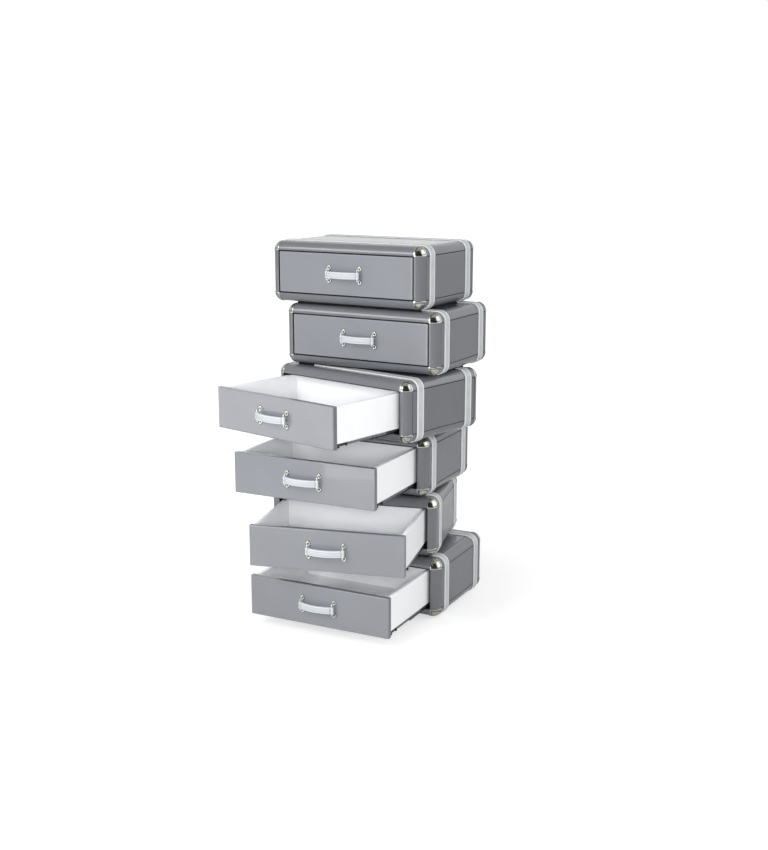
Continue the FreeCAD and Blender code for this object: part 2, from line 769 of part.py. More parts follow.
def stack(doc, s):
    """Places every sub-part in each of the six cases and returns the finished sub-parts."""
    shell = mouldings(doc, s) + case_panels(doc, s)
    caps, belts = corner_caps(doc, s), straps(doc, s)
    front, box = drawer_front(doc, s), drawer_box(doc, s)
    handle, bars = grip(doc, s), handle_loops(doc, s)
    hood, beam = drawer_rail(doc, s), middle_rail(doc, s)
    kinds = (
        ("case_{}_carcass", shell, 0), ("case_{}_corner_caps", [caps], 0), ("case_{}_straps", [belts], 0),
        ("drawer_{}_front", [front], 1), ("drawer_{}_box", box, 1), ("drawer_{}_grip", [handle], 1),
        ("drawer_{}_handle_loops", [bars], 1), ("drawer_{}_rails", hood, 1),
        ("slide_{}_middle", [beam], 0.5),
    )
    parts = []
    levels = [Level(s, number) for number in LEVELS]
    for level in levels:
        for pattern, pieces, drawn in kinds:
            item = group(doc, pattern.format(level.number), pieces)
            level.place(item, drawn)
            parts.append(item)

    troughs = []
    for level in levels:
        trough = cabinet_rail(doc, s, f"cabinet_rail_{level.number}")
        level.place(trough)
        troughs.append(trough)
    parts.append(group(doc, "cabinet_rails", troughs))

    # The pads stand between the straps, as high as the straps of the two cases together.
    pads = []
    pad_rows = s.case_depth - 2 * (s.strap_inset + s.strap_width + s.pad_strap_gap)
    for lower, upper in zip(levels, levels[1:]):
        cushion = four_discs(doc, f"pads_{lower.number}", s.case_width - 2 * s.pad_inset, pad_rows,
                             s.pad_diameter, 2 * (s.seat_gap + s.strap_thickness))
        place(cushion, (lower.x + upper.x) / 2, (lower.y + upper.y) / 2, lower.top)
        turn(cushion, (lower.turn + upper.turn) / 2)
        pads.append(cushion)
    parts.append(group(doc, "stack_pads", pads))

    # Front to back, a glide stands midway between the strap and the edge of the bottom panel.
    glide_row = (s.strap_inset + s.edge_radius + s.seam_width) / 2
    glides = four_discs(doc, "glides", s.case_width - 2 * s.glide_inset, s.case_depth - 2 * glide_row,
                        s.glide_diameter, s.glide_height)
    place(glides, levels[0].x, levels[0].y, 0)
    turn(glides, levels[0].turn)
    parts.append(group(doc, "floor_glides", [glides]))
    return parts


def check(doc, parts):
    """Stops if any object failed to build or any sub-part is empty or invalid."""
    failed = [item.Label for item in doc.Objects if {"Invalid", "Error"} & set(item.State)]
    if failed:
        raise RuntimeError(f"not built: {failed}")
    for item in parts:
        if item.Shape.isNull() or not item.Shape.isValid() or not item.Shape.Solids:
            raise RuntimeError(f"bad shape: {item.Label}")


def main():
    """Builds the document and writes one STEP file for each sub-part."""
    doc = FreeCAD.newDocument("chest_on_chest")
    s = Sheet(doc)
    for name, number, meaning in SIZES + TURNS:
        s.add(name, number, meaning)
    doc.recompute()
    parts = stack(doc, s)
    doc.recompute()
    check(doc, parts)
    os.makedirs("parts", exist_ok=True)
    for item in parts:
        item.Shape.exportStep(f"parts/{item.Label}.step")
        print(f"{item.Label}: {len(item.Shape.Solids)} solids, {item.Shape.Volume / 1000:.1f} cm3")


main()
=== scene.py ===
"""Chest on chest: six lacquered cases with leather straps, metal corner caps and drawers.

Each piece of a case is worked out about the middle of that case, with the drawer shut, in
millimetres: x to the right, y to the rear and z up. A Level then puts it in its place in the
stack, in metres, with its drawer as far out as it rests. Only the black strips of painted shade
between the cases, and the floor, are worked out where they stand.
"""

import json
import logging
import math
from dataclasses import dataclass
from enum import Enum
from typing import Any, Iterable, Sequence

import bmesh
import bpy
import numpy as np
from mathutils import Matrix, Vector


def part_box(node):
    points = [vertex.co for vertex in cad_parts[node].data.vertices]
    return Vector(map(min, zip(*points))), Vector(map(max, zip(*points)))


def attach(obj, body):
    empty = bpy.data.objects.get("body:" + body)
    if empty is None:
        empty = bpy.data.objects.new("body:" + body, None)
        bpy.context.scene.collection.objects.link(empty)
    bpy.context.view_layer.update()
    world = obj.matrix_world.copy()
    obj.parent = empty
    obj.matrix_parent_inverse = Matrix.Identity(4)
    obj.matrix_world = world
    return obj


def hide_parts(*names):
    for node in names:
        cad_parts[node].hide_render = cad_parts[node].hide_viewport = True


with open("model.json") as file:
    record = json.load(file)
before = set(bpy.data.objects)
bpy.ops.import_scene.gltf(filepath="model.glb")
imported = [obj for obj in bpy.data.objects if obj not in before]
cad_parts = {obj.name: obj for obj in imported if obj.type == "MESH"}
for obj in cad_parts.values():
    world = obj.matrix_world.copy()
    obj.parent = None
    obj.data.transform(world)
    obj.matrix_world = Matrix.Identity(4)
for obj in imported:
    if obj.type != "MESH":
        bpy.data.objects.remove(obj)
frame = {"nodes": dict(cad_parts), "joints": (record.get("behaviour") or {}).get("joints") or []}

LOG = logging.getLogger("chest_on_chest")
MM = 0.001
MERGE_DISTANCE = 2e-7
SMOOTH_ANGLE = math.radians(38)
LEVELS = (1, 2, 3, 4, 5, 6)
SIDES = (-1.0, 1.0)
FLAT_MARGIN = 4.0  # flat rim of a board's face beside its rounded edge, in millimetres
LEAST_RADIUS = 0.05  # smallest corner radius of a board's outline, in millimetres
Array = np.ndarray


# ------------------------------------------------------------------ the stack's own frame

class Ride(Enum):
    """What a piece moves with, and how far of the drawer's opening it stands out at rest."""

    CASE = ("stack", 0.0)
    DRAWER = ("drawer_{}", 1.0)


@dataclass(frozen=True)
class Level:
    """One case of the stack.

    Args:
        number: 1 for the bottom case to 6 for the top one.
        centre: middle of the case, in millimetres.
        turn: turn of the case about the vertical, in radians.
        opening: how far its drawer stands out, in millimetres.
    """

    number: int
    centre: Array
    turn: float
    opening: float

    def place(self, points: Array, ride: Ride) -> Array:
        """Takes points about the middle of the case to their place in the stack.

        Args:
            points: an array of points whose last axis is x, y, z, in millimetres.
            ride: what the points move with.

        Returns:
            The points in metres, turned with the case and moved with the drawer.
        """
        cos, sin = math.cos(self.turn), math.sin(self.turn)
        turned = points @ np.array([[cos, sin, 0.0], [-sin, cos, 0.0], [0.0, 0.0, 1.0]])
        reach = self.opening * ride.value[1]
        return (turned + self.centre + reach * np.array([sin, -cos, 0.0])) * MM

    def body(self, ride: Ride) -> str:
        """Name of the body that a piece of this level rides on."""
        return ride.value[0].format(self.number)


def read_level(number: int) -> Level:
    """Reads where a case stands from the frame.

    Args:
        number: number of the case, from the bottom.

    Returns:
        The level, with its turn and opening taken from its drawer's joint.
    """
    low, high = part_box(f"case_{number}_carcass")
    joint = next(j for j in frame["joints"] if j["name"] == f"drawer_{number}_slide")
    axis = joint["axis"]
    return Level(number, np.array((low + high) / 2) / MM, math.atan2(axis[0], -axis[1]),
                 -joint["range_m"][0] / MM)


# ------------------------------------------------------------------ surfaces as arrays

class Form:
    """Collects surfaces given as grids of points and makes them one mesh."""

    def __init__(self) -> None:
        """Starts with no surface."""
        self.points: list[Array] = []
        self.maps: list[Array] = []
        self.tones: list[Array] = []
        self.quads: list[Array] = []
        self.rims: list[list[int]] = []
        self.count = 0

    def _store(self, points: Array, uv: Array | None, tone: Array | None) -> int:
        """Stores flat lists of points and returns the number of the first one.

        Args:
            points: points, n by 3.
            uv: place of each point on the piece's own map, n by 2, or None.
            tone: how much each point is creased (0 to 1) and raised (0 to 1), n by 2, or None.

        Returns:
            Index of the first stored point.
        """
        first = self.count
        total = len(points)
        self.points.append(points)
        self.maps.append(np.zeros((total, 2)) if uv is None else uv)
        self.tones.append(np.zeros((total, 2)) if tone is None else tone)
        self.count += total
        return first

    def grid(self, points: Array, uv: Array | None = None, tone: Array | None = None) -> None:
        """Adds a surface whose points stand on a grid of two parameters.

        Args:
            points: rows by columns by 3. A surface that closes repeats its first row or column.
            uv: rows by columns by 2, or None.
            tone: rows by columns by 2, or None.
        """
        rows, columns = points.shape[:2]
        flat = None if uv is None else uv.reshape(-1, 2)
        shade = None if tone is None else tone.reshape(-1, 2)
        first = self._store(points.reshape(-1, 3), flat, shade)
        index = first + np.arange(rows * columns).reshape(rows, columns)
        corners = (index[:-1, :-1], index[1:, :-1], index[1:, 1:], index[:-1, 1:])
        self.quads.append(np.stack(corners, -1).reshape(-1, 4))

    def lid(self, ring: Array) -> None:
        """Closes a flat ring of points with one face."""
        first = self._store(ring, None, None)
        self.rims.append(list(range(first, first + len(ring))))

    def solid(self, points: Array, uv: Array | None = None, tone: Array | None = None) -> None:
        """Adds a surface of closed rings, with a flat face on its first and last ring.

        Args:
            points: rings by points by 3. The last point of a ring repeats its first.
            uv: rings by points by 2, or None.
            tone: rings by points by 2, or None.
        """
        self.grid(points, uv, tone)
        self.lid(points[0, :-1])
        self.lid(points[-1, :-1])

    def copies(self, points: Array, quads: Array, uv: Array) -> None:
        """Adds many small copies of one shape.

        Args:
            points: copies by points by 3.
            quads: the shape's faces, by its own point numbers.
            uv: place of each copy on the piece's own map, copies by 2.
        """
        number, each = points.shape[:2]
        first = self._store(points.reshape(-1, 3), np.repeat(uv, each, axis=0), None)
        shift = first + np.arange(number)[:, None, None] * each
        self.quads.append((quads[None] + shift).reshape(-1, 4))

    def mesh(self, name: str, level: Level | None = None, ride: Ride = Ride.CASE,
             outward: bool = True) -> bpy.types.Object:
        """Makes the collected surfaces one object with its place in its mesh.

        Args:
            name: name of the piece.
            level: the case it belongs to, or None if its points are already placed.
            ride: what it moves with.
            outward: True to turn all faces outwards, for closed surfaces.

        Returns:
            The new object, linked to the scene.
        """
        points = np.concatenate(self.points)
        points = points * MM if level is None else level.place(points, ride)
        faces = np.concatenate(self.quads).tolist() + self.rims
        mesh = bpy.data.meshes.new(name)
        mesh.from_pydata(points.tolist(), [], faces)
        corner = np.zeros(len(mesh.loops), np.int32)
        mesh.loops.foreach_get("vertex_index", corner)
        layer = mesh.uv_layers.new(name="surface")
        layer.data.foreach_set("uv", np.concatenate(self.maps)[corner].astype(np.float32).ravel())
        tones = np.concatenate(self.tones).astype(np.float32)
        # the crease tone carries painted shade: in the leather's creases and at the grip's collars, in
        # the metal's hollows and the caps' bands
        for column, label in enumerate(("crease", "raised")):
            tone = mesh.attributes.new(label, "FLOAT", "POINT")
            tone.data.foreach_set("value", np.ascontiguousarray(tones[:, column]))
        merge(mesh, outward)
        mesh.shade_smooth()
        mesh.set_sharp_from_angle(angle=SMOOTH_ANGLE)
        piece = bpy.data.objects.new(name, mesh)
        bpy.context.scene.collection.objects.link(piece)
        return piece


def merge(mesh: bpy.types.Mesh, outward: bool) -> None:
    """Joins points that coincide, drops empty faces and turns the rest outwards."""
    work = bmesh.new()
    work.from_mesh(mesh)
    bmesh.ops.remove_doubles(work, verts=work.verts, dist=MERGE_DISTANCE)
    bmesh.ops.dissolve_degenerate(work, edges=work.edges, dist=MERGE_DISTANCE)
    if outward:
        bmesh.ops.recalc_face_normals(work, faces=work.faces)
    work.to_mesh(mesh)
    work.free()


def arc(centre: Sequence[float], radius: float, start: float, end: float, steps: int) -> Array:
    """Points along a circle: centre plus radius times cosine and sine of the angle.

    Args:
        centre: middle of the circle.
        radius: its radius.
        start: first angle, in degrees.
        end: last angle, in degrees.
        steps: number of equal steps between them.

    Returns:
        Points, steps + 1 by 2.
    """
    angle = np.radians(np.linspace(start, end, steps + 1))
    return np.stack([centre[0] + radius * np.cos(angle), centre[1] + radius * np.sin(angle)], 1)


def rectangle(half_x: Array | float, half_y: Array | float, radius: Array | float,
              steps: int = 4) -> Array:
    """Outlines of rectangles with round corners, anticlockwise from the right side.

    Each corner is an arc about a point that stands in by the radius from both sides.

    Args:
        half_x: half widths, one for each outline.
        half_y: half heights.
        radius: corner radii, or one for all.
        steps: steps of each corner.

    Returns:
        Outlines by points by 2; the last point repeats the first.
    """
    angle = np.radians(np.concatenate(
        [np.linspace(90.0 * k, 90.0 * (k + 1), steps + 1) for k in range(4)]))
    sign_x = np.repeat([1.0, -1.0, -1.0, 1.0], steps + 1)
    sign_y = np.repeat([1.0, 1.0, -1.0, -1.0], steps + 1)
    half_x, half_y, radius = (np.atleast_1d(v)[:, None] for v in (half_x, half_y, radius))
    x = sign_x * (half_x - radius) + radius * np.cos(angle)
    y = sign_y * (half_y - radius) + radius * np.sin(angle)
    ring = np.stack([x, y], -1)
    return np.concatenate([ring, ring[:, :1]], 1)


@dataclass(frozen=True)
class Facing:
    """Three axes of a flat piece: across, up its face, and out of it.

    Args:
        across: unit direction of the piece's width.
        up: unit direction of its height.
        out: unit direction that its face looks in.
    """

    across: tuple[float, float, float]
    up: tuple[float, float, float]
    out: tuple[float, float, float]

    def points(self, plane: Array, height: Array, middle: Sequence[float]) -> Array:
        """Points of the piece: middle plus each coordinate times its axis.

        Args:
            plane: place across and up, rings by points by 2.
            height: height of each ring out of the plane.
            middle: middle of the piece.

        Returns:
            Rings by points by 3.
        """
        return (np.asarray(middle) + plane[..., :1] * np.array(self.across)
                + plane[..., 1:] * np.array(self.up) + height[:, None, None] * np.array(self.out))


FRONT = Facing((1, 0, 0), (0, 0, 1), (0, -1, 0))
REAR = Facing((-1, 0, 0), (0, 0, 1), (0, 1, 0))
RIGHT = Facing((0, 1, 0), (0, 0, 1), (1, 0, 0))
LEFT = Facing((0, -1, 0), (0, 0, 1), (-1, 0, 0))
TOP = Facing((1, 0, 0), (0, 1, 0), (0, 0, 1))
BOTTOM = Facing((1, 0, 0), (0, -1, 0), (0, 0, -1))


def slab(form: Form, facing: Facing, middle: Sequence[float], size: Sequence[float],
         profile: Sequence[tuple[float, float]], corner: float) -> None:
    """Adds a flat piece: a profile of insets and heights carried round a rectangle.

    At each point of the profile the outline is the rectangle less the inset on every side, with
    its corner radius less by the same, and it stands at the profile's height.

    Args:
        form: what the surface is added to.
        facing: axes of the piece.
        middle: middle of the piece at height 0.
        size: full width and height.
        profile: (inset, height) pairs from the middle of the face to the middle of the back.
        corner: corner radius of the outline at no inset.
    """
    inset, height = np.array(profile, float).T
    radius = np.maximum(corner - inset, LEAST_RADIUS)
    rings = rectangle(size[0] / 2 - inset, size[1] / 2 - inset, radius)
    form.solid(facing.points(rings, height, middle))


def eased(face: float, back: float, radius: float, rear_radius: float) -> list[tuple[float, float]]:
    """Profile of a board with rounded edges.

    Args:
        face: height of the face.
        back: height of the back.
        radius: rounding of the face's edges.
        rear_radius: rounding of the back's edges.

    Returns:
        (inset, height) pairs, with a flat margin before each rounding.
    """
    front = arc((radius, face - radius), radius, 90, 180, 4)
    rear = arc((rear_radius, back + rear_radius), rear_radius, 180, 270, 3)
    return [(radius + FLAT_MARGIN, face), *map(tuple, front), *map(tuple, rear),
            (rear_radius + FLAT_MARGIN, back)]


def carried(section: Array, path: Array, side: Array, up: Array) -> Array:
    """Carries a section along a path: path point plus each coordinate times its own direction.

    Args:
        section: points of the section, columns by 2.
        path: points of the path, rows by 3.
        side: direction of the section's first axis at each point of the path, rows by 3.
        up: direction of its second axis at each point of the path, rows by 3.

    Returns:
        Rows by columns by 3.
    """
    return (path[:, None] + section[None, :, :1] * side[:, None]
            + section[None, :, 1:] * up[:, None])


def revolved(profile: Array, middle: Sequence[float], steps: int) -> Array:
    """Turns a profile about the vertical: its radius times cosine and sine of the angle.

    Args:
        profile: radius and height of its points, n by 2.
        middle: middle of the axis.
        steps: number of steps round it.

    Returns:
        n by steps + 1 by 3.
    """
    turn = np.radians(np.linspace(0, 360, steps + 1))
    radius, height = profile[:, :1], np.repeat(profile[:, 1:], steps + 1, 1)
    points = np.stack([radius * np.cos(turn), radius * np.sin(turn), height], -1)
    return points + np.asarray(middle)


def dipped(distance: Array, width: float) -> Array:
    """Depth of a crease, 0 to 1, at a distance from its middle: half a cosine wave."""
    share = np.clip(1 - np.abs(distance) / (width / 2), 0, 1)
    return 0.5 - 0.5 * np.cos(math.pi * share)


# ------------------------------------------------------------------ shader graphs

def linear(red: float, green: float, blue: float) -> tuple[float, float, float, float]:
    """A colour given as 0 to 255 on a screen, as the linear colour of a shader."""
    channels = [c / 255 for c in (red, green, blue)]
    return (*(c / 12.92 if c <= 0.04045 else ((c + 0.055) / 1.055) ** 2.4 for c in channels), 1.0)


class Value:
    """A number that a node gives, with arithmetic that adds Math nodes."""

    def __init__(self, graph: "Graph", socket: bpy.types.NodeSocket) -> None:
        """Wraps a socket of a graph."""
        self.graph = graph
        self.socket = socket

    def math(self, operation: str, *others: Any, clamp: bool = False) -> "Value":
        """Adds a Math node on this value.

        Args:
            operation: the node's operation.
            others: its further operands, values or plain numbers.
            clamp: True to keep the result between 0 and 1.

        Returns:
            The node's result.
        """
        inputs = {0: self, **{i: v for i, v in enumerate(others, 1)}}
        node = self.graph.node("ShaderNodeMath", {"operation": operation, "use_clamp": clamp}, inputs)
        return Value(self.graph, node.outputs[0])

    def __add__(self, other: Any) -> "Value":
        """Sum."""
        return self.math("ADD", other)

    def __sub__(self, other: Any) -> "Value":
        """Difference."""
        return self.math("SUBTRACT", other)

    def __rsub__(self, other: float) -> "Value":
        """Difference from a plain number."""
        node = self.graph.node("ShaderNodeMath", {"operation": "SUBTRACT"}, {0: other, 1: self})
        return Value(self.graph, node.outputs[0])

    def __mul__(self, other: Any) -> "Value":
        """Product."""
        return self.math("MULTIPLY", other)

    def between(self, low: float, high: float) -> "Value":
        """This value from low to high, stretched to 0 to 1 and kept there."""
        return ((self - low) * (1.0 / (high - low))).math("ADD", 0.0, clamp=True)


class Graph:
    """The node tree of one material, or of the world."""

    def __init__(self, tree: bpy.types.NodeTree) -> None:
        """Starts from an empty tree."""
        tree.nodes.clear()
        self.tree = tree

    def node(self, kind: str, settings: dict[str, Any] | None = None,
             inputs: dict[Any, Any] | None = None) -> bpy.types.Node:
        """Adds a node.

        Args:
            kind: the node's type.
            settings: its properties.
            inputs: its sockets' values, or what they are linked to, by name or number.

        Returns:
            The new node.
        """
        node = self.tree.nodes.new(kind)
        for name, value in (settings or {}).items():
            setattr(node, name, value)
        for name, value in (inputs or {}).items():
            socket = node.inputs[name]
            if isinstance(value, Value):
                self.tree.links.new(value.socket, socket)
            elif isinstance(value, bpy.types.NodeSocket):
                self.tree.links.new(value, socket)
            else:
                socket.default_value = value
        return node

    def place(self) -> bpy.types.NodeSocket:
        """Place on the object, in metres."""
        return self.node("ShaderNodeTexCoord").outputs["Object"]

    def attribute(self, name: str) -> Value:
        """A number stored on the piece's points."""
        node = self.node("ShaderNodeAttribute", {"attribute_name": name})
        return Value(self, node.outputs["Fac"])

    def noise(self, size: float, detail: float, roughness: float = 0.5) -> Value:
        """Cloudy noise from 0 to 1.

        Args:
            size: width of its clouds, in millimetres.
            detail: number of finer layers.
            roughness: strength of the finer layers.

        Returns:
            The noise.
        """
        inputs = {"Vector": self.place(), "Scale": 1.0 / (size * MM), "Detail": detail,
                  "Roughness": roughness}
        return Value(self, self.node("ShaderNodeTexNoise", None, inputs).outputs[0])

    def cells(self, size: float) -> Value:
        """Rounded cells: distance from the nearest of scattered points, as a share of the size."""
        inputs = {"Vector": self.place(), "Scale": 1.0 / (size * MM)}
        node = self.node("ShaderNodeTexVoronoi", {"feature": "SMOOTH_F1"}, inputs)
        return Value(self, node.outputs["Distance"])

    def blend(self, factor: Any, first: Any, second: Any) -> bpy.types.NodeSocket:
        """Mixes two colours.

        Args:
            factor: share of the second colour.
            first: colour, or a link to one.
            second: colour, or a link to one.

        Returns:
            The mixed colour.
        """
        node = self.node("ShaderNodeMix", {"data_type": "RGBA"}, {0: factor, 6: first, 7: second})
        return node.outputs[2]

    def bump(self, height: Value, distance: float) -> bpy.types.NodeSocket:
        """Normal of a relief.

        Args:
            height: the relief, from 0 to 1.
            distance: its depth, in millimetres.

        Returns:
            The normal.
        """
        inputs = {"Height": height, "Distance": distance * MM, "Strength": 1.0}
        return self.node("ShaderNodeBump", None, inputs).outputs[0]

    def surface(self, inputs: dict[str, Any]) -> None:
        """Ends the graph in a principled shader with the given inputs."""
        shader = self.node("ShaderNodeBsdfPrincipled", None, inputs)
        self.node("ShaderNodeOutputMaterial", None, {"Surface": shader.outputs[0]})


def new_material(name: str) -> tuple[bpy.types.Material, Graph]:
    """A material with an empty graph."""
    material = bpy.data.materials.new(name)
    material.use_nodes = True
    return material, Graph(material.node_tree)


@dataclass(frozen=True)
class Lacquer:
    """Grey lacquer under a clear coat, with a fine orange-peel surface.

    Args:
        name: name of the material.
        colour: colour on a screen, 0 to 255.
        shift: how much paler its cloudy patches are, as a share.
        roughness: roughness under the coat.
        peel: width of the orange peel's dimples, in millimetres.
        peel_depth: their depth, in millimetres.
    """

    name: str = "grey_lacquer"
    colour: tuple[float, float, float] = (103, 105, 110)
    shift: float = 0.05
    roughness: float = 0.34
    peel: float = 2.6
    peel_depth: float = 0.006

    def build(self) -> bpy.types.Material:
        """Makes the material."""
        material, graph = new_material(self.name)
        paler = tuple(min(255.0, c * (1 + self.shift)) for c in self.colour)
        clouds = graph.noise(170, 3).between(0.35, 0.7)
        specks = graph.noise(0.9, 1).between(0.62, 0.8) * 0.25
        colour = graph.blend(clouds * 0.6 + specks, linear(*self.colour), linear(*paler))
        smears = graph.noise(60, 4, 0.6).between(0.3, 0.75)
        graph.surface({
            "Base Color": colour, "Roughness": smears * 0.1 + self.roughness,
            "Specular IOR Level": 0.25, "Coat Weight": 1.0, "Coat Roughness": 0.05,
            "Coat IOR": 1.5, "Normal": graph.bump(graph.noise(self.peel, 1), self.peel_depth)})
        return material


@dataclass(frozen=True)
class PaintedBoard:
    """White painted drawer boards with a faint roller texture.

    Args:
        colour: colour on a screen, 0 to 255.
        dust: colour of the slightly duller patches.
        roughness: roughness of the paint.
    """

    colour: tuple[float, float, float] = (248, 249, 251)
    dust: tuple[float, float, float] = (243, 244, 247)
    roughness: float = 0.32

    def build(self) -> bpy.types.Material:
        """Makes the material."""
        material, graph = new_material("white_board")
        patches = graph.noise(120, 4, 0.6).between(0.4, 0.75)
        texture = graph.noise(1.8, 2) * 0.8 + graph.noise(14, 1) * 0.2
        graph.surface({
            "Base Color": graph.blend(patches, linear(*self.colour), linear(*self.dust)),
            "Roughness": graph.noise(40, 3) * 0.12 + self.roughness, "Specular IOR Level": 0.45,
            "Normal": graph.bump(texture, 0.02)})
        return material


@dataclass(frozen=True)
class Leather:
    """White leather with a pebbled grain, duller in its raised middle, and darker in its creases as
    painted shade.

    Args:
        name: name of the material.
        colour: colour on a screen, 0 to 255.
        middle: colour of the raised middle.
        crease: colour at the bottom of a crease, a painted shade.
        roughness: roughness of the finish.
        grain: width of the grain's pebbles, in millimetres.
        grain_depth: depth of the grain, in millimetres.
    """

    name: str = "strap_leather"
    colour: tuple[float, float, float] = (220, 223, 225)
    middle: tuple[float, float, float] = (186, 189, 192)
    crease: tuple[float, float, float] = (150, 153, 157)
    roughness: float = 0.42
    grain: float = 1.5
    grain_depth: float = 0.09

    def build(self) -> bpy.types.Material:
        """Makes the material."""
        material, graph = new_material(self.name)
        pebbles = graph.cells(self.grain)
        wrinkles = graph.noise(9, 4, 0.62)
        middle = graph.attribute("raised") * (graph.noise(26, 3).between(0.2, 0.7) * 0.35 + 0.65)
        colour = graph.blend(middle, linear(*self.colour), linear(*self.middle))
        pores = pebbles.between(0.45, 0.8) * 0.25
        colour = graph.blend(pores, colour, linear(*self.middle))
        # painted shade: darker towards the bottom of a crease, by the crease tone
        colour = graph.blend(graph.attribute("crease"), colour, linear(*self.crease))
        relief = (1.0 - pebbles) * 0.75 + wrinkles * 0.25
        graph.surface({
            "Base Color": colour, "Roughness": pebbles * 0.16 + self.roughness,
            "Specular IOR Level": 0.4, "Normal": graph.bump(relief, self.grain_depth)})
        return material


@dataclass(frozen=True)
class Thread:
    """Waxed sewing thread, twisted.

    Args:
        colour: colour on a screen, 0 to 255.
    """

    colour: tuple[float, float, float] = (214, 214, 210)

    def build(self) -> bpy.types.Material:
        """Makes the material."""
        material, graph = new_material("waxed_thread")
        twist = graph.noise(0.5, 2, 0.7)
        dark = tuple(c * 0.8 for c in self.colour)
        graph.surface({
            "Base Color": graph.blend(twist, linear(*dark), linear(*self.colour)),
            "Roughness": twist * 0.2 + 0.45, "Normal": graph.bump(twist, 0.05)})
        return material


@dataclass(frozen=True)
class Metal:
    """A metal with soft stains, fine scuffs, and painted shade in its hollows.

    Args:
        name: name of the material.
        colour: colour on a screen, 0 to 255.
        stain: colour of its duller patches.
        hollow_shade: colour at the bottom of a hollow, a painted shade.
        roughness: lowest roughness.
        haze: how much rougher the stained patches are.
        scuff: depth of the scuffs, in millimetres.
    """

    name: str = "nickel"
    colour: tuple[float, float, float] = (208, 207, 201)
    stain: tuple[float, float, float] = (172, 170, 160)
    hollow_shade: tuple[float, float, float] = (112, 110, 99)
    roughness: float = 0.1
    haze: float = 0.14
    scuff: float = 0.012

    def build(self) -> bpy.types.Material:
        """Makes the material."""
        material, graph = new_material(self.name)
        stains = graph.noise(11, 4, 0.65).between(0.42, 0.72)
        colour = graph.blend(stains, linear(*self.colour), linear(*self.stain))
        # painted shade: darker towards the bottom of a hollow, by the crease tone
        hollow = graph.attribute("crease") * (graph.noise(4, 3).between(0.1, 0.5) * 0.4 + 0.6)
        colour = graph.blend(hollow, colour, linear(*self.hollow_shade))
        relief = graph.noise(3.2, 3, 0.6) * 0.7 + graph.noise(0.7, 1) * 0.3
        graph.surface({
            "Base Color": colour, "Metallic": 1.0, "Roughness": stains * self.haze + self.roughness,
            "Normal": graph.bump(relief, self.scuff)})
        return material


@dataclass(frozen=True)
class Moulded:
    """Moulded rubber or plastic with a fine sparked surface.

    Args:
        name: name of the material.
        colour: colour on a screen, 0 to 255.
        roughness: roughness of the surface.
    """

    name: str = "pad_rubber"
    colour: tuple[float, float, float] = (46, 46, 48)
    roughness: float = 0.6

    def build(self) -> bpy.types.Material:
        """Makes the material."""
        material, graph = new_material(self.name)
        sparks = graph.noise(0.8, 2)
        paler = tuple(c * 1.25 for c in self.colour)
        graph.surface({
            "Base Color": graph.blend(graph.noise(12, 3), linear(*self.colour), linear(*paler)),
            "Roughness": sparks * 0.15 + self.roughness, "Normal": graph.bump(sparks, 0.03)})
        return material


class Finishes:
    """Every finish of the chest, made once."""

    def __init__(self) -> None:
        """Makes the materials."""
        self.lacquer = Lacquer().build()
        # painted light: a paler, lit copy of the grey lacquer for the drawers' faces
        self.front_lit_lacquer = Lacquer("front_lit_lacquer", (129, 131, 137)).build()
        self.board = PaintedBoard().build()
        self.leather = Leather().build()
        self.grip_leather = Leather("grip_leather", (208, 212, 215), (188, 192, 196),
                                    (152, 156, 160)).build()
        self.thread = Thread().build()
        self.nickel = Metal().build()
        self.polished = Metal("polished_nickel", (238, 238, 234), (222, 221, 214), (96, 94, 84), 0.14,
                              0.08).build()
        self.steel = Metal("slide_steel", (132, 134, 140), (96, 98, 104), roughness=0.3, haze=0.2,
                           scuff=0.02).build()
        self.rubber = Moulded().build()
        self.plastic = Moulded("glide_plastic", (27, 27, 29), 0.45).build()
        # painted shade: the black of the seam cords, the strips under the straps, round the openings
        # and between the cases
        self.shade_flock = Moulded("black_shade_flock", (16, 16, 17), 0.8).build()


def dress(piece: bpy.types.Object, material: bpy.types.Material, body: str,
          node: str | None = None) -> None:
    """Gives a new piece its material, slot and body, hides the node that it stands for, and reports
    it.

    Args:
        piece: the piece.
        material: its material.
        body: name of the body that it rides on.
        node: node that it stands for, or None.
    """
    piece.data.materials.append(material)
    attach(piece, body)
    if node:
        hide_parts(node)
    LOG.info("%s: %d faces on %s", piece.name, len(piece.data.polygons), body)


def recoat(node: str, material: bpy.types.Material) -> None:
    """Gives a node of the frame a finished material in all its slots."""
    slots = frame["nodes"][node].data.materials
    if not slots:
        slots.append(material)
    for index in range(len(slots)):
        slots[index] = material
    LOG.info("%s: recoated with %s", node, material.name)


# ------------------------------------------------------------------ cases

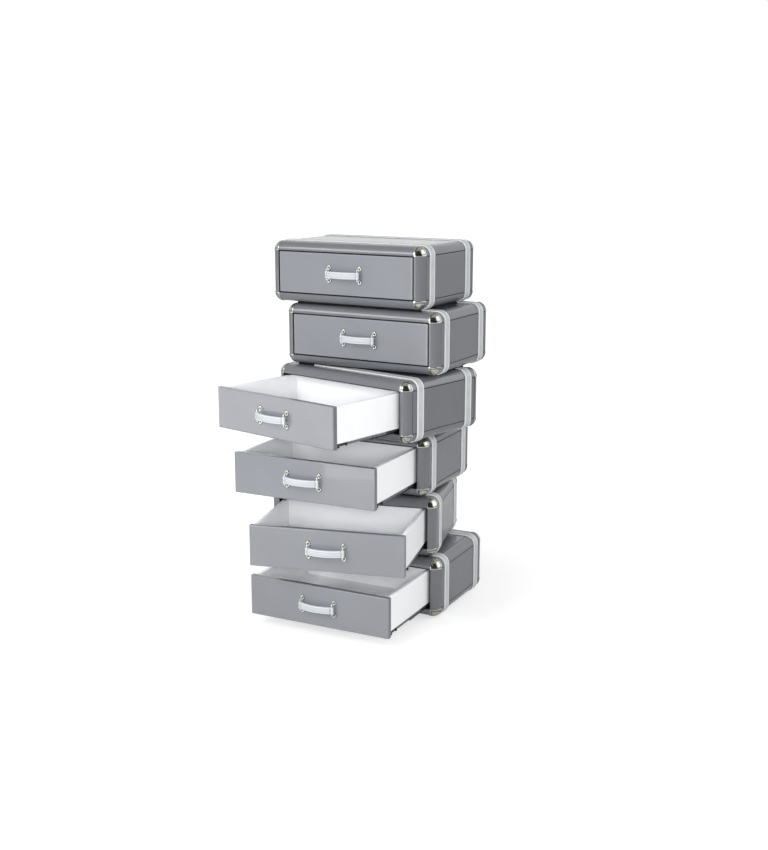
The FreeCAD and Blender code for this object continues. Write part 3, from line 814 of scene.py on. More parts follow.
@dataclass(frozen=True)
class CaseShell:
    """Rounded mouldings along the edges of a case and the panels let in between them.

    Args:
        width, depth, height: the case, in millimetres.
        radius: radius of the mouldings.
        panel: thickness of the top, bottom and back panels.
        seam: width of the shadow line round a panel.
        seam_depth: its depth.
        shade_cord_depth: how deep the black cord of painted shade in it lies.
        easing: rounding of the mouldings' and panels' edges.
        flat: flat rim beside a moulding's tip, as a share of its radius.
        least_end: radius below which a moulding's end is a point and takes no lid.
        shade_cord_foot: height of the cord's foot above the bottom of the seam.
        shade_cord_corner, window_corner: corner radius of the cords' and of the panels' outlines.
        core_gap: gap between a panel's core and the mouldings.
    """

    width: float = 630.0
    depth: float = 424.0
    height: float = 220.0
    radius: float = 32.0
    panel: float = 16.0
    seam: float = 2.6
    seam_depth: float = 8.0
    shade_cord_depth: float = 1.0
    easing: float = 0.8
    flat: float = 0.06
    least_end: float = 0.01
    shade_cord_foot: float = 1.0
    shade_cord_corner: float = 0.3
    window_corner: float = 0.6
    core_gap: float = 0.02

    @property
    def corner(self) -> Array:
        """Middle of the ball at the case's highest corner."""
        return np.array([self.width, self.depth, self.height]) / 2 - self.radius

    def quarter(self) -> Array:
        """Section of a moulding: a quarter of a disc, with both tips eased, for a radius of 1.

        An easing arc touches a straight side and the round face, so it stands on a circle that is
        smaller by its own radius.
        """
        ease = self.easing / self.radius
        along = math.sqrt((1 - ease) ** 2 - ease ** 2)
        touch = math.degrees(math.atan2(ease, along))
        first = arc((along, ease), ease, -90, touch, 4)
        face = arc((0, 0), 1, touch, 90 - touch, 18)[1:-1]
        last = first[::-1, ::-1]
        margin = along - self.flat
        return np.concatenate([[(0, 0), (margin, 0)], first, face, last, [(0, margin), (0, 0)]])

    def bar(self, form: Form, axis: int, signs: tuple[float, float], along: Array,
            scale: Array) -> None:
        """Adds a moulding: its quarter disc carried along an axis, scaled as it goes.

        Args:
            form: what it is added to.
            axis: 0, 1 or 2, the axis it runs along.
            signs: side of the case on each of the other two axes.
            along: coordinates along the axis.
            scale: radius at each of them.
        """
        others = [i for i in range(3) if i != axis]
        section = self.quarter()
        points = np.zeros((len(along), len(section), 3))
        points[..., axis] = along[:, None]
        for column, (other, sign) in enumerate(zip(others, signs)):
            points[..., other] = sign * (self.corner[other] + scale[:, None] * section[:, column])
        form.grid(points)
        for end in (0, -1):
            if scale[end] > self.least_end:
                form.lid(points[end, :-1])

    def mouldings(self, level: Level) -> bpy.types.Object:
        """Four posts with domed ends and eight bars.

        A post's radius at a height above its ball's middle is the radius times the cosine of the
        angle whose sine is that height over the radius.
        """
        form = Form()
        rise = np.radians(np.linspace(0, 90, 13))
        top = self.corner[2] + self.radius * np.sin(rise)
        z = np.concatenate([-top[::-1], top])
        scale = self.radius * np.concatenate([np.cos(rise)[::-1], np.cos(rise)])
        plain = np.full(2, self.radius)
        for first in SIDES:
            for second in SIDES:
                self.bar(form, 2, (first, second), z, scale)
                self.bar(form, 0, (first, second), self.corner[0] * np.array(SIDES), plain)
                self.bar(form, 1, (first, second), self.corner[1] * np.array(SIDES), plain)
        return form.mesh(f"case_{level.number}_mouldings", level)

    def windows(self) -> tuple[tuple[Facing, tuple[float, float], float, float], ...]:
        """Facing, size, distance from the middle and thickness of each panel."""
        x, y, z = self.corner * 2
        return ((TOP, (x, y), self.height / 2, self.panel),
                (BOTTOM, (x, y), self.height / 2, self.panel),
                (RIGHT, (y, z), self.width / 2, self.radius),
                (LEFT, (y, z), self.width / 2, self.radius),
                (REAR, (x, z), self.depth / 2, self.panel))

    def shade_cords(self, level: Level) -> bpy.types.Object:
        """Painted shade: a black cord in the seam round each panel that darkens its shade line; half a
        circle carried round the window.
        """
        form = Form()
        radius = self.seam / 2
        top = arc((radius, -self.shade_cord_depth - radius), radius, 0, 180, 6)
        foot = self.shade_cord_foot - self.seam_depth
        section = np.concatenate([top, [(0.0, foot), (self.seam, foot)], top[:1]])
        for facing, size, outside, _ in self.windows():
            inset, height = section.T
            rings = rectangle(size[0] / 2 - inset, size[1] / 2 - inset, self.shade_cord_corner, 1)
            form.grid(facing.points(rings, height, np.array(facing.out) * outside))
        return form.mesh(f"case_{level.number}_welts", level)

    def panels(self, level: Level) -> bpy.types.Object:
        """Top, bottom, sides and back: a skin with eased edges on a core that fills the window."""
        form = Form()
        for facing, size, outside, thickness in self.windows():
            ease = arc((self.seam + self.easing, -self.easing), self.easing, 90, 180, 4)
            profile = [(self.seam + self.easing + FLAT_MARGIN, 0), *map(tuple, ease),
                       (self.seam, -self.seam_depth), (self.core_gap, -self.seam_depth),
                       (self.core_gap, -thickness), (FLAT_MARGIN, -thickness)]
            slab(form, facing, np.array(facing.out) * outside, size, profile, self.window_corner)
        return form.mesh(f"case_{level.number}_panels", level)

    def build(self, level: Level, finishes: Finishes) -> None:
        """Adds the shell of one case."""
        for piece in (self.mouldings(level), self.panels(level)):
            dress(piece, finishes.lacquer, "stack", f"case_{level.number}_carcass")
        # painted shade: black cords in the seams
        dress(self.shade_cords(level), finishes.shade_flock, "stack")


@dataclass(frozen=True)
class CornerCap:
    """Metal caps over the corners of a case, each with a raised bead round its edge.

    Args:
        case: the case that they fit.
        inner: radius of the ball inside the cap.
        thickness: thickness of the metal.
        reach: how far it goes past the ball along each edge.
        bead: width of the bead.
        bead_height: height of the bead.
        hollow_shade: width of the band of painted shade inside the bead.
        hollow_shade_start: how dark that band is at the bead, 0 to 1.
        hollow_shade_rise: distance over which the band would go from none to full.
        hollow_shade_fade: distance over which it fades inwards.
        border_share: share of a third, next to the border, that has finer steps.
        border_steps: steps over that share.
        steps: points over the rest of each third.
    """

    case: CaseShell
    inner: float = 32.3
    thickness: float = 0.9
    reach: float = 0.8
    bead: float = 4.6
    bead_height: float = 0.3
    hollow_shade: float = 6.0
    hollow_shade_start: float = 0.4
    hollow_shade_rise: float = 1.2
    hollow_shade_fade: float = 3.0
    border_share: float = 0.2
    border_steps: int = 9
    steps: int = 12

    def grid(self) -> tuple[Array, Array]:
        """The two parameters of a third, closer together near the border, under the bead."""
        sleeve = np.linspace(-1, 0, 3)[:-1]
        border = np.linspace(0, self.border_share, self.border_steps + 1)[:-1]
        t = np.concatenate([sleeve, border, np.linspace(self.border_share, 1, self.steps)])
        return tuple(np.meshgrid(t, t, indexing="ij"))

    def third(self, radius: float, raised: bool) -> Array:
        """A third of an eighth of a ball, round the x axis, with its two sleeves.

        Both parameters run from -1 to 1. Above 0 they are angles from the x axis, as shares of 45
        degrees, and the point is the radius times the unit direction (1, tangent, tangent). Below
        0 the point moves back from the ball, along the edge, by that share of the reach. The bead
        is half a circle over the distance from the cap's border.

        Args:
            radius: radius of the ball.
            raised: True for the outside, which has the bead.

        Returns:
            Points about the middle of the ball, for the corner with positive x, y and z.
        """
        u, v = self.grid()
        angle_u, angle_v = (np.maximum(p, 0) * math.pi / 4 for p in (u, v))
        direction = np.stack([np.ones_like(u), np.tan(angle_u), np.tan(angle_v)], -1)
        direction /= np.linalg.norm(direction, axis=-1, keepdims=True)
        height = np.full_like(u, radius)
        if raised:
            swing = np.clip(1 - ((self.border(u, v) - self.bead / 2) / (self.bead / 2)) ** 2, 0, 1)
            height = height + self.bead_height * np.sqrt(swing)
        back = np.stack([np.zeros_like(u), np.minimum(u, 0), np.minimum(v, 0)], -1) * self.reach
        return direction * height[..., None] + back

    def border(self, u: Array, v: Array) -> Array:
        """Distance from the cap's border, along the metal."""
        edge = [np.where(p < 0, (p + 1) * self.reach,
                         self.reach + np.maximum(p, 0) * self.inner * math.pi / 4) for p in (u, v)]
        return np.minimum(*edge)

    def tone(self) -> Array:
        """Painted shade on a third: a darker band that starts inside the bead and fades inwards."""
        u, v = self.grid()
        # painted shade: the band's darkness, carried in the crease tone
        past = self.border(u, v) - self.bead
        rise = np.clip(past / self.hollow_shade_rise + self.hollow_shade_start, 0, 1)
        band = rise * np.clip((self.hollow_shade - past) / self.hollow_shade_fade, 0, 1)
        return np.stack([band, np.zeros_like(band)], -1)

    def shell(self, radius: float, raised: bool) -> list[Array]:
        """The three thirds of a cap, one round each axis."""
        third = self.third(radius, raised)
        return [third, np.roll(third, 1, axis=-1), np.roll(third, 2, axis=-1)]

    def build(self, level: Level, finishes: Finishes) -> None:
        """Adds the eight caps of one case: outside, inside and the rim between them."""
        form = Form()
        outside = self.shell(self.inner + self.thickness, True)
        inside = self.shell(self.inner, False)
        rims = [np.stack([outer[edge], inner[edge]]) for outer, inner in zip(outside, inside)
                for edge in ((0, slice(None)), (slice(None), 0))]
        signs = np.array([(a, b, c) for a in SIDES for b in SIDES for c in SIDES])
        tone = self.tone()
        for sign in signs:
            for sheet in outside:
                form.grid(sign * (self.case.corner + sheet), None, tone)
            for sheet in (*inside, *rims):
                form.grid(sign * (self.case.corner + sheet))
        dress(form.mesh(f"case_{level.number}_caps", level), finishes.nickel, "stack",
              f"case_{level.number}_corner_caps")


STITCH_POINTS = 6  # points of a ring round the thread, which two faces close, and rings along it
STITCH_END, STITCH_SWELL = 0.55, 0.45  # thickness at its ends, and what its middle has on top
STITCH_RISE, STITCH_SINK = 0.9, 0.55  # rise of its middle, and how deep its ends start
DIRECTION_STEP = 0.5  # millimetres to each side over which a line's direction is taken


def stitch_shape(length: float, thickness: float) -> tuple[Array, Array]:
    """One stitch: a ring carried along half a sine, sinking into the hide at its ends.

    The shares above are of the thread's thickness.

    Args:
        length: length of the stitch.
        thickness: thickness of the thread.

    Returns:
        Its points (along, across, up) and its faces.
    """
    count = STITCH_POINTS
    share = np.linspace(0, 1, count)
    angle = np.radians(np.arange(count) * (360.0 / count))
    swell = thickness / 2 * (STITCH_END + STITCH_SWELL * np.sin(math.pi * share))
    along = np.repeat(((share - 0.5) * length)[:, None], count, 1)
    across = swell[:, None] * np.cos(angle)
    rise = thickness * STITCH_RISE * np.sin(math.pi * share) - thickness * STITCH_SINK
    up = rise[:, None] + swell[:, None] * np.sin(angle)
    points = np.stack([along, across, up], -1).reshape(-1, 3)
    ring = np.arange(count)
    after = (ring + 1) % count
    rows = [np.stack([k * count + ring, (k + 1) * count + ring, (k + 1) * count + after,
                      k * count + after], -1) for k in range(count - 1)]
    end = np.array([[0, 1, 2, 3], [0, 3, 4, 5]])
    return points, np.concatenate([*rows, end, (count - 1) * count + end[:, ::-1]])


def sew(form: Form, path: Array, normal: Array, pitch: float, length: float,
        thickness: float) -> None:
    """Adds a row of stitches along a line.

    Each stitch stands at an equal share of the line's length, along its direction there.

    Args:
        form: what they are added to.
        path: points of the line, n by 3.
        normal: direction out of the hide at each point, n by 3.
        pitch: distance from stitch to stitch.
        length: length of a stitch.
        thickness: thickness of the thread.
    """
    steps = np.linalg.norm(np.diff(path, axis=0), axis=1)
    run = np.concatenate([[0.0], np.cumsum(steps)])
    count = max(int(run[-1] / pitch), 1)
    at = (np.arange(count) + 0.5) * run[-1] / count

    def sample(values: Array, where: Array) -> Array:
        """Values along the line at given lengths."""
        return np.stack([np.interp(where, run, values[:, i]) for i in range(3)], -1)

    middle = sample(path, at)
    ahead = (sample(path, np.minimum(at + DIRECTION_STEP, run[-1]))
             - sample(path, np.maximum(at - DIRECTION_STEP, 0)))
    ahead /= np.linalg.norm(ahead, axis=1, keepdims=True)
    up = sample(normal, at)
    up -= ahead * np.sum(up * ahead, axis=1, keepdims=True)
    up /= np.linalg.norm(up, axis=1, keepdims=True)
    side = np.cross(up, ahead)
    shape, quads = stitch_shape(length, thickness)
    points = (middle[:, None] + shape[None, :, :1] * ahead[:, None]
              + shape[None, :, 1:2] * side[:, None] + shape[None, :, 2:] * up[:, None])
    form.copies(points, quads, np.stack([at, at * 0], -1) * MM)


@dataclass(frozen=True)
class Strap:
    """Leather straps round a case, with a raised middle between two stitched creases.

    Args:
        case: the case that they are buckled round.
        inset: front of the case to the strap's near edge.
        width: width of a strap.
        lift: how far the hide stands off the rounded case.
        thickness: thickness of the hide.
        border: width of each border.
        crease: width of a crease.
        crease_depth: depth of a crease.
        pitch: distance from stitch to stitch.
        stitch: length of a stitch, as a share of that distance.
        thread: thickness of the thread.
        rounding: rounding of the strap's upper edges.
        swell: how far the raised middle falls off towards the creases.
        fall: how far the borders lie below the top of the middle.
        shade_margin: how far the black strip under a strap, a painted shade along its edges, shows on
            each side of it.
        shade_margin_thickness: thickness of that strip.
        shade_margin_slope: how far the strip's edges slope in.
        bend_steps: steps of an arc round a corner of the case.
        long_steps, short_steps: points along the case's width and height.
    """

    case: CaseShell
    inset: float = 56.0
    width: float = 36.0
    lift: float = 0.2
    thickness: float = 3.8
    border: float = 6.8
    crease: float = 2.6
    crease_depth: float = 1.0
    pitch: float = 7.0
    stitch: float = 0.72
    thread: float = 0.9
    rounding: float = 1.3
    swell: float = 0.3
    fall: float = 0.15
    shade_margin: float = 1.5
    shade_margin_thickness: float = 0.35
    shade_margin_slope: float = 0.2
    bend_steps: int = 12
    long_steps: int = 24
    short_steps: int = 8

    def section(self) -> tuple[Array, Array]:
        """Section across the strap: rounded edges, borders, and a middle that swells slightly.

        The face's height is the hide's thickness, less a cosine dip over each crease, and less a
        small parabola on the raised middle so that it falls off towards the creases.

        Returns:
            Points (across, height), closed, and their crease and raised tones.
        """
        half, edge = self.width / 2, self.rounding
        face = self.lift + self.thickness
        x = np.concatenate([
            np.linspace(half - edge, half - self.border, 3)[:-1],
            np.linspace(half - self.border, half - self.border - self.crease, 7),
            np.linspace(half - self.border - self.crease, 0, 5)[1:]])
        x = np.concatenate([x, -x[-2::-1]])
        dip_at = half - self.border - self.crease / 2
        dip = dipped(np.abs(x) - dip_at, self.crease)
        inner = np.abs(x) < dip_at
        fall = np.where(inner, self.swell * (np.abs(x) / dip_at) ** 2, self.fall)
        top = np.stack([x, face - fall - self.crease_depth * dip], -1)
        right = arc((half - edge, face - self.fall - edge), edge, 0, 90, 4)
        left = arc((edge - half, face - self.fall - edge), edge, 90, 180, 4)
        base = np.array([(-half, self.lift), (half, self.lift)])
        points = np.concatenate([right[:-1], top, left[1:], base, right[:1]])
        tones = np.zeros((len(points), 2))
        upper = slice(len(right) - 1, len(right) - 1 + len(x))
        # painted shade: the crease tone darkens the hide down in its creases
        tones[upper, 0] = dip
        tones[upper, 1] = inner
        return points, tones

    def loop(self) -> tuple[Array, Array]:
        """The way round the case in x and z, and the direction out of it.

        Four straight runs, and four arcs of the mouldings' radius about the corners.

        Returns:
            Points and unit directions, rows by 3, the last repeating the first.
        """
        x, _, z = self.case.corner
        runs = ((x, z, 0), (-x, z, 90), (-x, -z, 180), (x, -z, 270))
        points, normals = [], []
        for index, (centre_x, centre_z, start) in enumerate(runs):
            turn = np.radians(np.linspace(start, start + 90, self.bend_steps + 1))
            out = np.stack([np.cos(turn), np.zeros_like(turn), np.sin(turn)], -1)
            points.append(np.array([centre_x, 0, centre_z]) + self.case.radius * out)
            normals.append(out)
            next_x, next_z, _ = runs[(index + 1) % 4]
            end = np.array([next_x, 0, next_z]) + self.case.radius * out[-1]
            count = self.long_steps if index % 2 == 0 else self.short_steps
            share = np.linspace(0, 1, count)[1:-1, None]
            points.append(points[-1][-1] + (end - points[-1][-1]) * share)
            normals.append(np.repeat(out[-1:], count - 2, 0))
        line, out = np.concatenate(points), np.concatenate(normals)
        return np.concatenate([line, line[:1]]), np.concatenate([out, out[:1]])

    def build(self, level: Level, finishes: Finishes) -> None:
        """Adds the two straps of a case, their stitches and the black strips under them, a painted
        shade along their edges.
        """
        hide, thread, edge_shade = Form(), Form(), Form()
        section, tones = self.section()
        line, out = self.loop()
        length = np.concatenate([[0], np.cumsum(np.linalg.norm(np.diff(line, axis=0), axis=1))])
        across = np.tile([0.0, 1.0, 0.0], (len(line), 1))
        middle = self.case.depth / 2 - self.inset - self.width / 2
        dip = self.width / 2 - self.border - self.crease / 2
        # painted shade: a black strip under each strap that shows along its edges
        half, thick = self.width / 2 + self.shade_margin, self.shade_margin_thickness
        upper = half - self.shade_margin_slope
        strip = np.array([(half, 0.0), (upper, thick), (-upper, thick), (-half, 0.0), (half, 0.0)])
        for side in SIDES:
            way = line + np.array([0, side * middle, 0])
            points = carried(section, way, across, out)
            uv = np.stack(np.broadcast_arrays(length[:, None], section[None, :, 0]), -1) * MM
            hide.grid(points, uv, np.broadcast_to(tones, (len(line), *tones.shape)))
            edge_shade.grid(carried(strip, way, across, out))
            foot = self.lift + self.thickness - self.crease_depth
            for row in SIDES:
                seam = way + across * dip * row + out * foot
                sew(thread, seam, out, self.pitch, self.pitch * self.stitch, self.thread)
        number = level.number
        dress(hide.mesh(f"case_{number}_strap_hides", level), finishes.leather, "stack",
              f"case_{number}_straps")
        dress(thread.mesh(f"case_{number}_strap_stitches", level), finishes.thread, "stack")
        dress(edge_shade.mesh(f"case_{number}_strap_edge_shade", level), finishes.shade_flock, "stack")


@dataclass(frozen=True)
class OpeningShadeStrip:
    """Painted shade: a black rubber strip pushed over the edge of a case's opening, with a lip, that
    stands in for the shade in the gap round the drawer front.

    Args:
        case: the case that it lines.
        over: how far it goes over the mouldings' face.
        proud: how far it stands off their face.
        lip: thickness of the lip inside the opening.
        end: rear edge of the lip, behind the front of the case.
        easing: rounding of its edges.
        sink: how far its foot lies below the mouldings' face.
        clearance: gap between the lip and the opening.
        corner: corner radius of its outlines.
    """

    case: CaseShell
    over: float = 0.3
    proud: float = 0.3
    lip: float = 2.5
    end: float = 26.0
    easing: float = 0.3
    sink: float = 0.6
    clearance: float = 0.05
    corner: float = 0.4

    def build(self, level: Level, finishes: Finishes) -> None:
        """Adds the black strip: its section of insets and heights carried round the opening."""
        form = Form()
        e = self.easing
        outer = arc((e - self.over, self.proud - e), e, 180, 90, 3)
        inner = arc((self.lip - e, self.proud - e), e, 90, 0, 3)
        foot = (-self.over, -self.sink)
        section = np.concatenate([[foot], outer, inner, [
            (self.lip, -self.end), (self.clearance, -self.end), (self.clearance, -self.sink), foot]])
        inset, height = section.T
        half_x, _, half_z = self.case.corner
        rings = rectangle(half_x - inset, half_z - inset, self.corner, 2)
        form.grid(FRONT.points(rings, height, (0, -self.case.depth / 2, 0)))
        dress(form.mesh(f"case_{level.number}_shade_trim", level), finishes.shade_flock, "stack")


@dataclass(frozen=True)
class StackShadeStrip:
    """Painted shade: a strip of black foam between two cases, round what their flat faces have in
    common, that darkens the gap between them.

    Args:
        case: the cases.
        inset: distance of the strip from the edge of a flat face.
        width: width of the strip.
        slack: room left below it.
        diagonal: how much further a corner is drawn in than an edge.
    """

    case: CaseShell
    inset: float = 1.5
    width: float = 12.0
    slack: float = 0.15
    diagonal: float = 1.4

    def flat(self, level: Level, height: float) -> Array:
        """Corners of a flat face of a case, less the inset, anticlockwise, in metres."""
        x, y = self.case.corner[:2] - self.inset
        corner = np.array([(x, y, height), (-x, y, height), (-x, -y, height), (x, -y, height)])
        return level.place(corner, Ride.CASE)

    @staticmethod
    def shared(first: Array, second: Array) -> Array:
        """What two convex outlines have in common, cut by one edge of the second after another.

        A point is kept where it lies to the left of the edge; where the outline crosses the edge,
        the crossing point is the mean of its two ends, weighted by their distances from the edge.

        Args:
            first: corners of an outline, n by 2, anticlockwise.
            second: corners of the other one.

        Returns:
            Corners of the common outline.
        """
        outline = first
        for start, end in zip(second, np.roll(second, -1, axis=0)):
            edge = end - start
            away = edge[0] * (outline[:, 1] - start[1]) - edge[1] * (outline[:, 0] - start[0])
            following = np.roll(away, -1)
            crossing = (away > 0) != (following > 0)
            share = np.where(crossing, away / np.where(crossing, away - following, 1.0), 0.0)
            cut = outline + (np.roll(outline, -1, axis=0) - outline) * share[:, None]
            both = np.stack([outline, cut], 1).reshape(-1, 2)
            outline = both[np.stack([away > 0, crossing], 1).ravel()]
        return outline

    def build(self, lower: Level, upper: Level, finishes: Finishes) -> None:
        """Adds the strip between two cases.

        The inner outline is the outer one with each corner drawn towards the middle, by the width
        of the strip times the diagonal.
        """
        half = self.case.height / 2
        under, over = self.flat(upper, -half), self.flat(lower, half)
        outer = self.shared(under[:, :2], over[:, :2])
        middle = outer.mean(0)
        reach = np.linalg.norm(outer - middle, axis=1, keepdims=True)
        inner = middle + (outer - middle) * (1 - self.diagonal * self.width * MM / reach)
        high, low = under[0, 2], over[0, 2] + self.slack * MM
        rows = [(outer, high), (outer, low), (inner, low), (inner, high), (outer, high)]
        rings = np.stack([np.column_stack([ring, np.full(len(ring), z)]) for ring, z in rows])
        form = Form()
        form.grid(np.concatenate([rings, rings[:, :1]], 1) / MM)
        dress(form.mesh(f"case_{upper.number}_shade_gasket"), finishes.shade_flock, "stack")


# ------------------------------------------------------------------ drawers

@dataclass(frozen=True)
class DrawerFront:
    """The lacquered drawer front.

    Painted light: the paler lacquer, a lit copy of the case's lacquer, is on the polygons that look
    forwards, and the case's darker lacquer, as painted shade, is on the rest.

    Args:
        case: the case it closes.
        gap: gap to the opening, all round.
        thickness: thickness of the front.
        easing: rounding of its face's edges.
        rear_easing: rounding of its back's edges.
        forwards: least share of a face's normal that looks forwards for the paler lacquer, the painted
            light.
    """

    case: CaseShell
    gap: float = 4.0
    thickness: float = 18.0
    easing: float = 2.5
    rear_easing: float = 0.6
    forwards: float = 0.8

    def build(self, level: Level, finishes: Finishes) -> None:
        """Adds the front."""
        form = Form()
        size = 2 * (self.case.corner[0] - self.gap), 2 * (self.case.corner[2] - self.gap)
        profile = eased(0, -self.thickness, self.easing, self.rear_easing)
        slab(form, FRONT, (0, -self.case.depth / 2, 0), size, profile, self.easing)
        piece = form.mesh(f"drawer_{level.number}_face", level, Ride.DRAWER)
        dress(piece, finishes.front_lit_lacquer, level.body(Ride.DRAWER),
              f"drawer_{level.number}_front")
        piece.data.materials.append(finishes.lacquer)
        normals = np.zeros(len(piece.data.polygons) * 3)
        piece.data.polygons.foreach_get("normal", normals)
        ahead = np.array([math.sin(level.turn), -math.cos(level.turn), 0])
        # painted shade: polygons that don't look forwards take the case's darker lacquer, the rest the
        # paler lit copy
        edges = normals.reshape(-1, 3) @ ahead < self.forwards
        piece.data.polygons.foreach_set("material_index", edges.astype(np.int32))


@dataclass(frozen=True)
class DrawerBox:
    """The drawer box: two sides, an inner front, a back and a floor in their grooves.

    Args:
        outer, inner: width over and between the sides.
        start, end: front and back of the box, from the middle of the case.
        base, top: its lower and upper edge.
        board: thickness of the boards.
        floor_base, floor: underside and thickness of the floor.
        groove: how far the floor goes into the boards.
        easing: rounding of the boards' edges.
    """

    outer: float = 544.0
    inner: float = 518.0
    start: float = -194.0
    end: float = 176.0
    base: float = -56.5
    top: float = 69.5
    board: float = 13.0
    floor_base: float = -43.5
    floor: float = 8.0
    groove: float = 4.9
    easing: float = 1.4

    def plank(self, form: Form, facing: Facing, low: Sequence[float], high: Sequence[float]) -> None:
        """Adds one board between two corners, its faces towards a facing's two sides."""
        low, high = np.array(low), np.array(high)
        size = np.abs(high - low)
        across, up, out = (np.abs(np.array(v)) @ size for v in (facing.across, facing.up, facing.out))
        profile = eased(out / 2, -out / 2, self.easing, self.easing)
        slab(form, facing, (low + high) / 2, (across, up), profile, self.easing)

    def build(self, level: Level, finishes: Finishes) -> None:
        """Adds the box."""
        form = Form()
        half, clear = self.outer / 2, self.inner / 2
        self.plank(form, LEFT, (-half, self.start, self.base), (-clear, self.end, self.top))
        self.plank(form, RIGHT, (clear, self.start, self.base), (half, self.end, self.top))
        self.plank(form, FRONT, (-clear, self.start, self.base),
                   (clear, self.start + self.board, self.top))
        self.plank(form, REAR, (-clear, self.end - self.board, self.base), (clear, self.end, self.top))
        inset = self.board - self.groove
        self.plank(form, TOP, (-half + inset, self.start + inset, self.floor_base),
                   (half - inset, self.end - inset, self.floor_base + self.floor))
        dress(form.mesh(f"drawer_{level.number}_boards", level, Ride.DRAWER), finishes.board,
              level.body(Ride.DRAWER), f"drawer_{level.number}_box")


@dataclass(frozen=True)
class LeatherGrip:
    """The leather grip: bowed in plan between two collars, with a raised and stitched middle.

    Args:
        half_span: middle of the grip to the bar at each end.
        rod_y: the bars, from the middle of the case.
        bow: how far the middle stands in front of the ends.
        thickness: front to back.
        height: up and down.
        rounding: rounding of its rims.
        border: width of the borders above and below.
        crease: width of a crease.
        crease_depth: depth of a crease.
        collar: radius of the collars.
        collar_height: their height.
        bore: radius of their bore.
        waist: depth of their waist.
        waist_margin: plain rim above and below the waist.
        swell: how far the face's middle swells out.
        face_step: distance between the points of the face between its creases.
        seam, seam_shade: length and strength of the painted shade line where the band meets a collar.
        pitch, stitch, thread: distance between stitches, their length and their thickness.
        steps: steps along the band.
    """

    half_span: float = 64.0
    rod_y: float = -228.0
    bow: float = 14.0
    thickness: float = 11.0
    height: float = 24.0
    rounding: float = 3.0
    border: float = 4.2
    crease: float = 2.0
    crease_depth: float = 0.6
    collar: float = 6.2
    collar_height: float = 25.6
    bore: float = 2.7
    waist: float = 0.45
    waist_margin: float = 1.5
    swell: float = 0.35
    face_step: float = 3.0
    seam: float = 1.4
    seam_shade: float = 0.6
    pitch: float = 4.2
    stitch: float = 3.0
    thread: float = 0.8
    steps: int = 56

    @property
    def radius(self) -> float:
        """Radius of the bow: from the half span and the bow, by Pythagoras."""
        return (self.half_span ** 2 + self.bow ** 2) / (2 * self.bow)

    @property
    def crease_at(self) -> float:
        """Height of the creases above and below the middle."""
        return self.height / 2 - self.border - self.crease / 2

    def section(self) -> tuple[Array, Array]:
        """Section of the grip: a rectangle with round corners and creases in its front.

        Returns:
            Points (forwards, up), closed, and their crease and raised tones.
        """
        half, deep, r = self.height / 2, self.thickness / 2, self.rounding
        rim = deep - self.swell
        across = np.linspace(-1, 1, 7) * self.crease / 2
        rise = np.concatenate([
            [-half + r], -self.crease_at + across, np.array([-1, 0, 1]) * self.face_step,
            self.crease_at + across])
        dip = dipped(np.abs(rise) - self.crease_at, self.crease)
        swell = self.swell * np.clip(1 - (rise / self.crease_at) ** 2, 0, 1)
        front = np.stack([rim + swell - self.crease_depth * dip, rise], -1)
        corners = [arc((x, z), r, start, start + 90, 5) for x, z, start in (
            (rim - r, half - r, 0), (r - deep, half - r, 90), (r - deep, r - half, 180),
            (rim - r, r - half, 270))]
        points = np.concatenate([front, *corners])
        tones = np.zeros((len(points), 2))
        # painted shade: darker down in the creases
        tones[:len(front), 0] = dip
        tones[:len(front), 1] = np.abs(rise) < self.crease_at
        return np.concatenate([points, points[:1]]), np.concatenate([tones, tones[:1]])

    def band(self, form: Form) -> tuple[Array, Array]:
        """Adds the band between the collars: the section carried along an arc.

        Returns:
            The middle of the band's front and the direction out of it, along its length.
        """
        spread = math.asin(self.half_span / self.radius)
        turn = np.linspace(-spread, spread, self.steps + 1)
        out = np.stack([np.sin(turn), -np.cos(turn), turn * 0], -1)
        path = np.array([0.0, self.rod_y + self.radius - self.bow, 0.0]) + self.radius * out
        section, tones = self.section()
        points = carried(section, path, out, np.tile([0.0, 0.0, 1.0], (len(turn), 1)))
        run = turn * self.radius
        uv = np.stack(np.broadcast_arrays(run[:, None], section[None, :, 1]), -1)
        tone = np.array(np.broadcast_to(tones, (len(turn), *tones.shape)))
        # painted shade: a dark line on the band next to each collar
        tone[np.abs(run) > run[-1] - self.collar - self.seam, :, 0] = self.seam_shade
        form.solid(points, uv * MM, tone)
        return path + out * (self.thickness / 2 - self.swell), out

    def sleeve(self, form: Form, side: float) -> None:
        """Adds a collar: a ring with round rims and a shallow waist, turned about its bar."""
        half, r = self.collar_height / 2, self.rounding
        rise = np.linspace(r - half, half - r, 13)
        share = np.clip(1 - (rise / (half - r - self.waist_margin)) ** 2, 0, 1)
        waist = self.waist * np.sqrt(share)
        profile = np.concatenate([
            [(self.bore, -half)], arc((self.collar - r, r - half), r, -90, 0, 5),
            np.stack([self.collar - waist, rise], -1)[1:-1],
            arc((self.collar - r, half - r), r, 0, 90, 5), [(self.bore, half), (self.bore, -half)]])
        points = revolved(profile, (side * self.half_span, self.rod_y, 0), 28)
        tones = np.zeros((*points.shape[:2], 2))
        # painted shade: darker at the collar's rims round its bore
        tones[0] = tones[-2:] = (1.0, 0.0)
        form.grid(points, None, tones)

    def build(self, level: Level, finishes: Finishes) -> None:
        """Adds the grip and the stitches in its creases."""
        form, thread = Form(), Form()
        face, out = self.band(form)
        for side in SIDES:
            self.sleeve(form, side)
        body = level.body(Ride.DRAWER)
        dress(form.mesh(f"drawer_{level.number}_grip_hide", level, Ride.DRAWER),
              finishes.grip_leather, body, f"drawer_{level.number}_grip")
        keep = slice(3, -3)
        for row in SIDES:
            line = face[keep] - out[keep] * self.crease_depth
            seam = line + np.array([0, 0, row * self.crease_at])
            sew(thread, seam, out[keep], self.pitch, self.stitch, self.thread)
        dress(thread.mesh(f"drawer_{level.number}_grip_stitches", level, Ride.DRAWER),
              finishes.thread, body)


